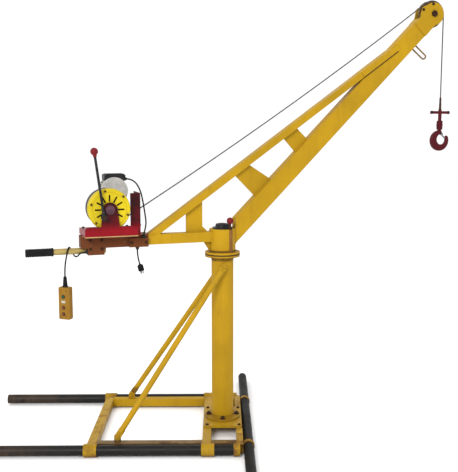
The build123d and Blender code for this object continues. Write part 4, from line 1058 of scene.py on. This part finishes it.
class CRANE_OT_handle(bpy.types.Operator):
    """Ribbed grip, and the lever's ball, nut and socket"""

    bl_idname = "crane.handle"
    bl_label = "Handle and lever fittings"

    def execute(self, context):
        self.grip()
        self.lever()
        return {"FINISHED"}

    def grip(self):
        """Ribbed rubber sleeve of the grip."""
        f = Form()
        profile = [(0, -0.2), (14, -0.2), (17.2, 1.2), (19, 3), (19, 6)]
        for i in range(12):
            at = 9 + i * 8.6
            profile += [(17.8, at - 1.4), (17.8, at + 1.2), (18.9, at + 2.6), (18.9, at + 5.4)]
        profile += [(17.8, 114.5), (20, 117), (20, 121.5), (18, 123.6), (15.2, 123.8)]
        f.lathe(jib(-934.4, 935, 0), ALONG, profile, 32)
        f.make("grip_sleeve", "rubber")

    def lever(self):
        """Ball, nut and socket of the clutch lever."""
        foot, ball = jib(*LEVER_PIN, LEVER_SIDE), jib(*LEVER_BALL, LEVER_SIDE)
        line = (ball - foot).normalized()
        ball_r, neck = 17.4, pi - 0.48
        profile = [(8.2, -24), (8.6, -20), (8.6, -16.4)]
        for k in range(11, -1, -1):
            a = neck * k / 12
            profile.append((ball_r * sin(a), ball_r * cos(a)))
        f = Form()
        f.lathe(ball, line, profile, 32)
        f.make("lever_ball", "ball", "clutch_lever")
        f = Form()
        nut = jib(*LEVER_PIN, LEVER_SIDE + 12)
        f.lathe(nut, SIDE, [(8.6, 0.1), (8.6, 1.4), (7.4, 2)], 20)
        f.lathe(nut, SIDE, [(7.6, 1.8), (7.6, 6.4), (6.2, 7.6), (0, 8)], 6, 0.3)
        f.make("lever_nut", "bolt")
        f = Form()
        f.lathe(foot + line * 0.013, line, [(8.6, 0), (8.6, 8), (7, 11), (6.2, 16)], 20)
        f.make("lever_socket", "black", "clutch_lever")


# The pendant hangs turned against the jib; levels are heights above the ground
PENDANT = (-764, 22)
PENDANT_X = Vector((cos(radians(-20)), sin(radians(-20)), 0))
PENDANT_FRONT = PENDANT_X.cross(UP)
PENDANT_FACE = 20.2
STOP_Z = 733
RUN_Z = (682, 652)


def on_pendant(across, up, out):
    """World point from millimetres across the pendant, above the ground, and out of its middle."""
    middle = jib(PENDANT[0], 0, PENDANT[1])
    return middle + (PENDANT_X * across + UP * up + PENDANT_FRONT * out) / 1000


class CRANE_OT_pendant(bpy.types.Operator):
    """Buttons, plates, screws and strain relief of the pendant, on its cable"""

    bl_idname = "crane.pendant"
    bl_label = "Pendant"

    def execute(self, context):
        sizes = context.scene.crane_sizes
        r = sizes.button
        bezel = [(r + 2, 0), (r + 2, 1.6), (r + 0.6, 2.4), (r + 0.2, 1.2)]
        cap = [(r, 0.8), (r, 4.2), (r * 0.82, 5.2), (0, 5.5)]
        pieces = [
            self.plates(),
            self.row("pendant_bezels", "black", bezel, (STOP_Z, *RUN_Z)),
            self.row("pendant_stop_button", "green", cap, (STOP_Z,)),
            self.label(),
            self.row("pendant_run_buttons", "button", cap, RUN_Z),
            self.screws(),
            self.relief(),
        ]
        run = cable("pendant_cable_run", "pendant_cable", PENDANT_ROUTE, sizes.cord)
        run_length(run)
        return {"FINISHED"}

    def plates(self):
        """Raised plates on the front and the back."""
        f = Form()
        f.slab(on_pendant(0, 700.5, 18.6), PENDANT_X, UP, 40, 128, 1.8, 7, 0.9)
        f.slab(on_pendant(0, 700.5, -18.6), -PENDANT_X, UP, 40, 128, 1.6, 7, 0.9)
        return f.make("pendant_plates", "pendant")

    def row(self, name, finish, profile, levels):
        """The same turned shape on the face at each level."""
        f = Form()
        for z in levels:
            f.lathe(on_pendant(0, z, PENDANT_FACE), PENDANT_FRONT, profile, 24)
        return f.make(name, finish)

    def label(self):
        """Plain label under the top button."""
        f = Form()
        f.slab(on_pendant(0, 709, 20.3), PENDANT_X, UP, 20, 11, 0.7, 1.5, 0.2)
        return f.make("pendant_plain_label", "white")

    def screws(self):
        """Four screws in each plate."""
        f = Form()
        for across in (-16, 16):
            for z in (642, 759):
                f.screw(on_pendant(across, z, PENDANT_FACE), PENDANT_FRONT, 2.2)
                f.screw(on_pendant(across, z, -20), -PENDANT_FRONT, 2.2)
        return f.make("pendant_screws", "bolt")

    def relief(self):
        """Ribbed rubber sleeve round the cable, on the pendant's top."""
        f = Form()
        profile = [(12.5, -0.5), (12.5, 5), (10.5, 7)]
        for i in range(7):
            r, low = 9.9 - i * 0.4, 8 + i * 5.2
            profile += [(r, low), (r + 0.9, low + 1), (r + 0.9, low + 3.4), (r, low + 4.4)]
        profile += [(7.2, 45), (7.2, 47.6), (4.4, 49.2), (3.7, 49.6)]
        f.lathe(on_pendant(0, 775, 0), UP, profile, 24)
        return f.make("pendant_relief", "rubber")


# Hook

DROP = 1201.05
HOOK_Z = 1434


class CRANE_OT_hook(bpy.types.Operator):
    """Ferrule, bar ends, knurled nut rings and latch spring"""

    bl_idname = "crane.hook"
    bl_label = "Hook fittings"

    def execute(self, context):
        f = Form()
        for side in (-1, 1):
            end = jib(DROP + side * 55, 1580, ROPE_SIDE)
            f.lathe(end, ALONG * side, [(7.6, -9), (8.6, -8), (8.6, -1.5), (6.8, 0.6), (0, 0.8)], 20)
        f.make("limit_bar_ends", "rubber")
        f = Form()
        rope = jib(DROP, 1592, ROPE_SIDE)
        profile = [(7.4, -1), (7.4, 6), (6, 8), (6, 34), (5.4, 36), (5.4, 60), (3.3, 66)]
        f.lathe(rope, UP, profile, 20)
        f.make("rope_ferrule", "bolt")
        f = Form()
        nut = jib(DROP, 1490, ROPE_SIDE)
        for level in (5, 12, 36, 43):
            ring = [(15, level - 2), (16.2, level - 1.2), (16.2, level + 1.2), (15, level + 2)]
            f.lathe(nut, UP, ring, 28)
        for foot, angle in around(nut, ALONG, SIDE, 15.2, 16):
            f.tube([foot + UP * 0.016, foot + UP * 0.032], 1.3, 6)
        f.make("swivel_rings", "hook", "hook")
        f = Form()
        pin = jib(DROP + 13, HOOK_Z + 34, ROPE_SIDE)
        for side in (-1, 1):
            coil = []
            for k in range(37):
                a = 2 * pi * k / 12
                out = SIDE * side * (7.6 + 2.4 * k / 36)
                coil.append(pin + (ALONG * cos(a) * 3.6 + UP * sin(a) * 3.6 + out) / 1000)
            f.tube(coil, 0.7, 6)
        f.make("latch_spring", "steel", "hook")
        return {"FINISHED"}


# Stage

# Each light's name, place, width in metres, and power in watts
LIGHTS = (
    ("key_light", (-2.0, -6.0, 4.0), 2.2, 320.0),
    ("fill_light", (4.5, -3.0, 3.5), 4.0, 15.0),
    ("back_light", (0.5, 4.5, 5.0), 4.0, 60.0),
)
LIGHT_AIM = Vector((0.0, 0.0, 1.0))
SKY_STRENGTH = 1.06
CAMERA_PLACE = (-0.014, -3.726, 1.471)
CAMERA_PITCH, CAMERA_YAW = radians(7.59), radians(0.71)
SENSOR_WIDTH = 36.0
FOCAL_PIXELS, PHOTO_PIXELS = 770.0, 458.0


class CRANE_OT_studio(bpy.types.Operator):
    """Pale floor, soft studio light and the camera of the photo"""

    bl_idname = "crane.studio"
    bl_label = "Studio"

    def execute(self, context):
        self.floor(context)
        self.lights(context.scene)
        self.camera(context.scene)
        return {"FINISHED"}

    def floor(self, context):
        """Wide sheet of pale paper, just under the crane."""
        bpy.ops.mesh.primitive_plane_add(size=60.0, location=(0, 0, -0.0005))
        floor = context.object
        floor.name = "floor"
        s = Shader("floor_paper")
        tone = s.mix(s.noise(0.6, 2.0), (0.93, 0.93, 0.93), (0.98, 0.98, 0.98))
        floor.data.materials.append(s.finish(tone, 0.9))

    def lights(self, scene):
        """Area lights that look at the jib's foot, and a white sky."""
        for name, place, width, power in LIGHTS:
            data = bpy.data.lights.new(name, "AREA")
            data.size = width
            data.energy = power
            light = bpy.data.objects.new(name, data)
            light.location = place
            light.rotation_euler = (LIGHT_AIM - Vector(place)).to_track_quat("-Z", "Y").to_euler()
            scene.collection.objects.link(light)
        scene.world = bpy.data.worlds.new("studio_world")
        scene.world.use_nodes = True
        sky = scene.world.node_tree.nodes["Background"]
        sky.inputs["Color"].default_value = (1, 1, 1, 1)
        sky.inputs["Strength"].default_value = SKY_STRENGTH
        scene.view_settings.view_transform = "Standard"

    def camera(self, scene):
        """The photo's camera, solved from points on the crane."""
        data = bpy.data.cameras.new("photo_camera")
        data.sensor_fit = "HORIZONTAL"
        data.sensor_width = SENSOR_WIDTH
        data.lens = FOCAL_PIXELS * SENSOR_WIDTH / PHOTO_PIXELS
        data.dof.use_dof = False
        camera = bpy.data.objects.new("photo_camera", data)
        level = cos(CAMERA_PITCH)
        look = Vector((sin(CAMERA_YAW) * level, cos(CAMERA_YAW) * level, -sin(CAMERA_PITCH)))
        camera.location = CAMERA_PLACE
        camera.rotation_euler = look.to_track_quat("-Z", "Y").to_euler()
        scene.collection.objects.link(camera)
        scene.camera = camera


class CRANE_PT_panel(bpy.types.Panel):
    """Buttons of the crane's pieces"""

    bl_label = "Mini construction crane"
    bl_idname = "CRANE_PT_panel"
    bl_space_type = "VIEW_3D"
    bl_region_type = "UI"
    bl_category = "Crane"

    def draw(self, context):
        for operator in OPERATORS:
            self.layout.operator(operator.bl_idname)


OPERATORS = (
    CRANE_OT_studio,
    CRANE_OT_finishes,
    CRANE_OT_cables,
    CRANE_OT_pendant,
    CRANE_OT_ground_fittings,
    CRANE_OT_head_fittings,
    CRANE_OT_jib_welds,
    CRANE_OT_jib_head,
    CRANE_OT_gear_cover,
    CRANE_OT_drum,
    CRANE_OT_motor,
    CRANE_OT_winch_mount,
    CRANE_OT_handle,
    CRANE_OT_hook,
)
CLASSES = (CranePaint, CraneSizes, *OPERATORS, CRANE_PT_panel)


def register():
    """Adds the crane's classes and settings."""
    for cls in CLASSES:
        bpy.utils.register_class(cls)
    bpy.types.Scene.crane_paint = bpy.props.PointerProperty(type=CranePaint)
    bpy.types.Scene.crane_sizes = bpy.props.PointerProperty(type=CraneSizes)


def unregister():
    """Takes them away again."""
    del bpy.types.Scene.crane_sizes
    del bpy.types.Scene.crane_paint
    for cls in reversed(CLASSES):
        bpy.utils.unregister_class(cls)


def main():
    """Registers the add-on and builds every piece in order."""
    register()
    bpy.ops.crane.studio()
    bpy.ops.crane.finishes()
    bpy.ops.crane.cables()
    bpy.ops.crane.pendant()
    bpy.ops.crane.ground_fittings()
    bpy.ops.crane.head_fittings()
    bpy.ops.crane.jib_welds()
    bpy.ops.crane.jib_head()
    bpy.ops.crane.gear_cover()
    bpy.ops.crane.drum()
    bpy.ops.crane.motor()
    bpy.ops.crane.winch_mount()
    bpy.ops.crane.handle()
    bpy.ops.crane.hook()


if __name__ == "__main__":
    main()
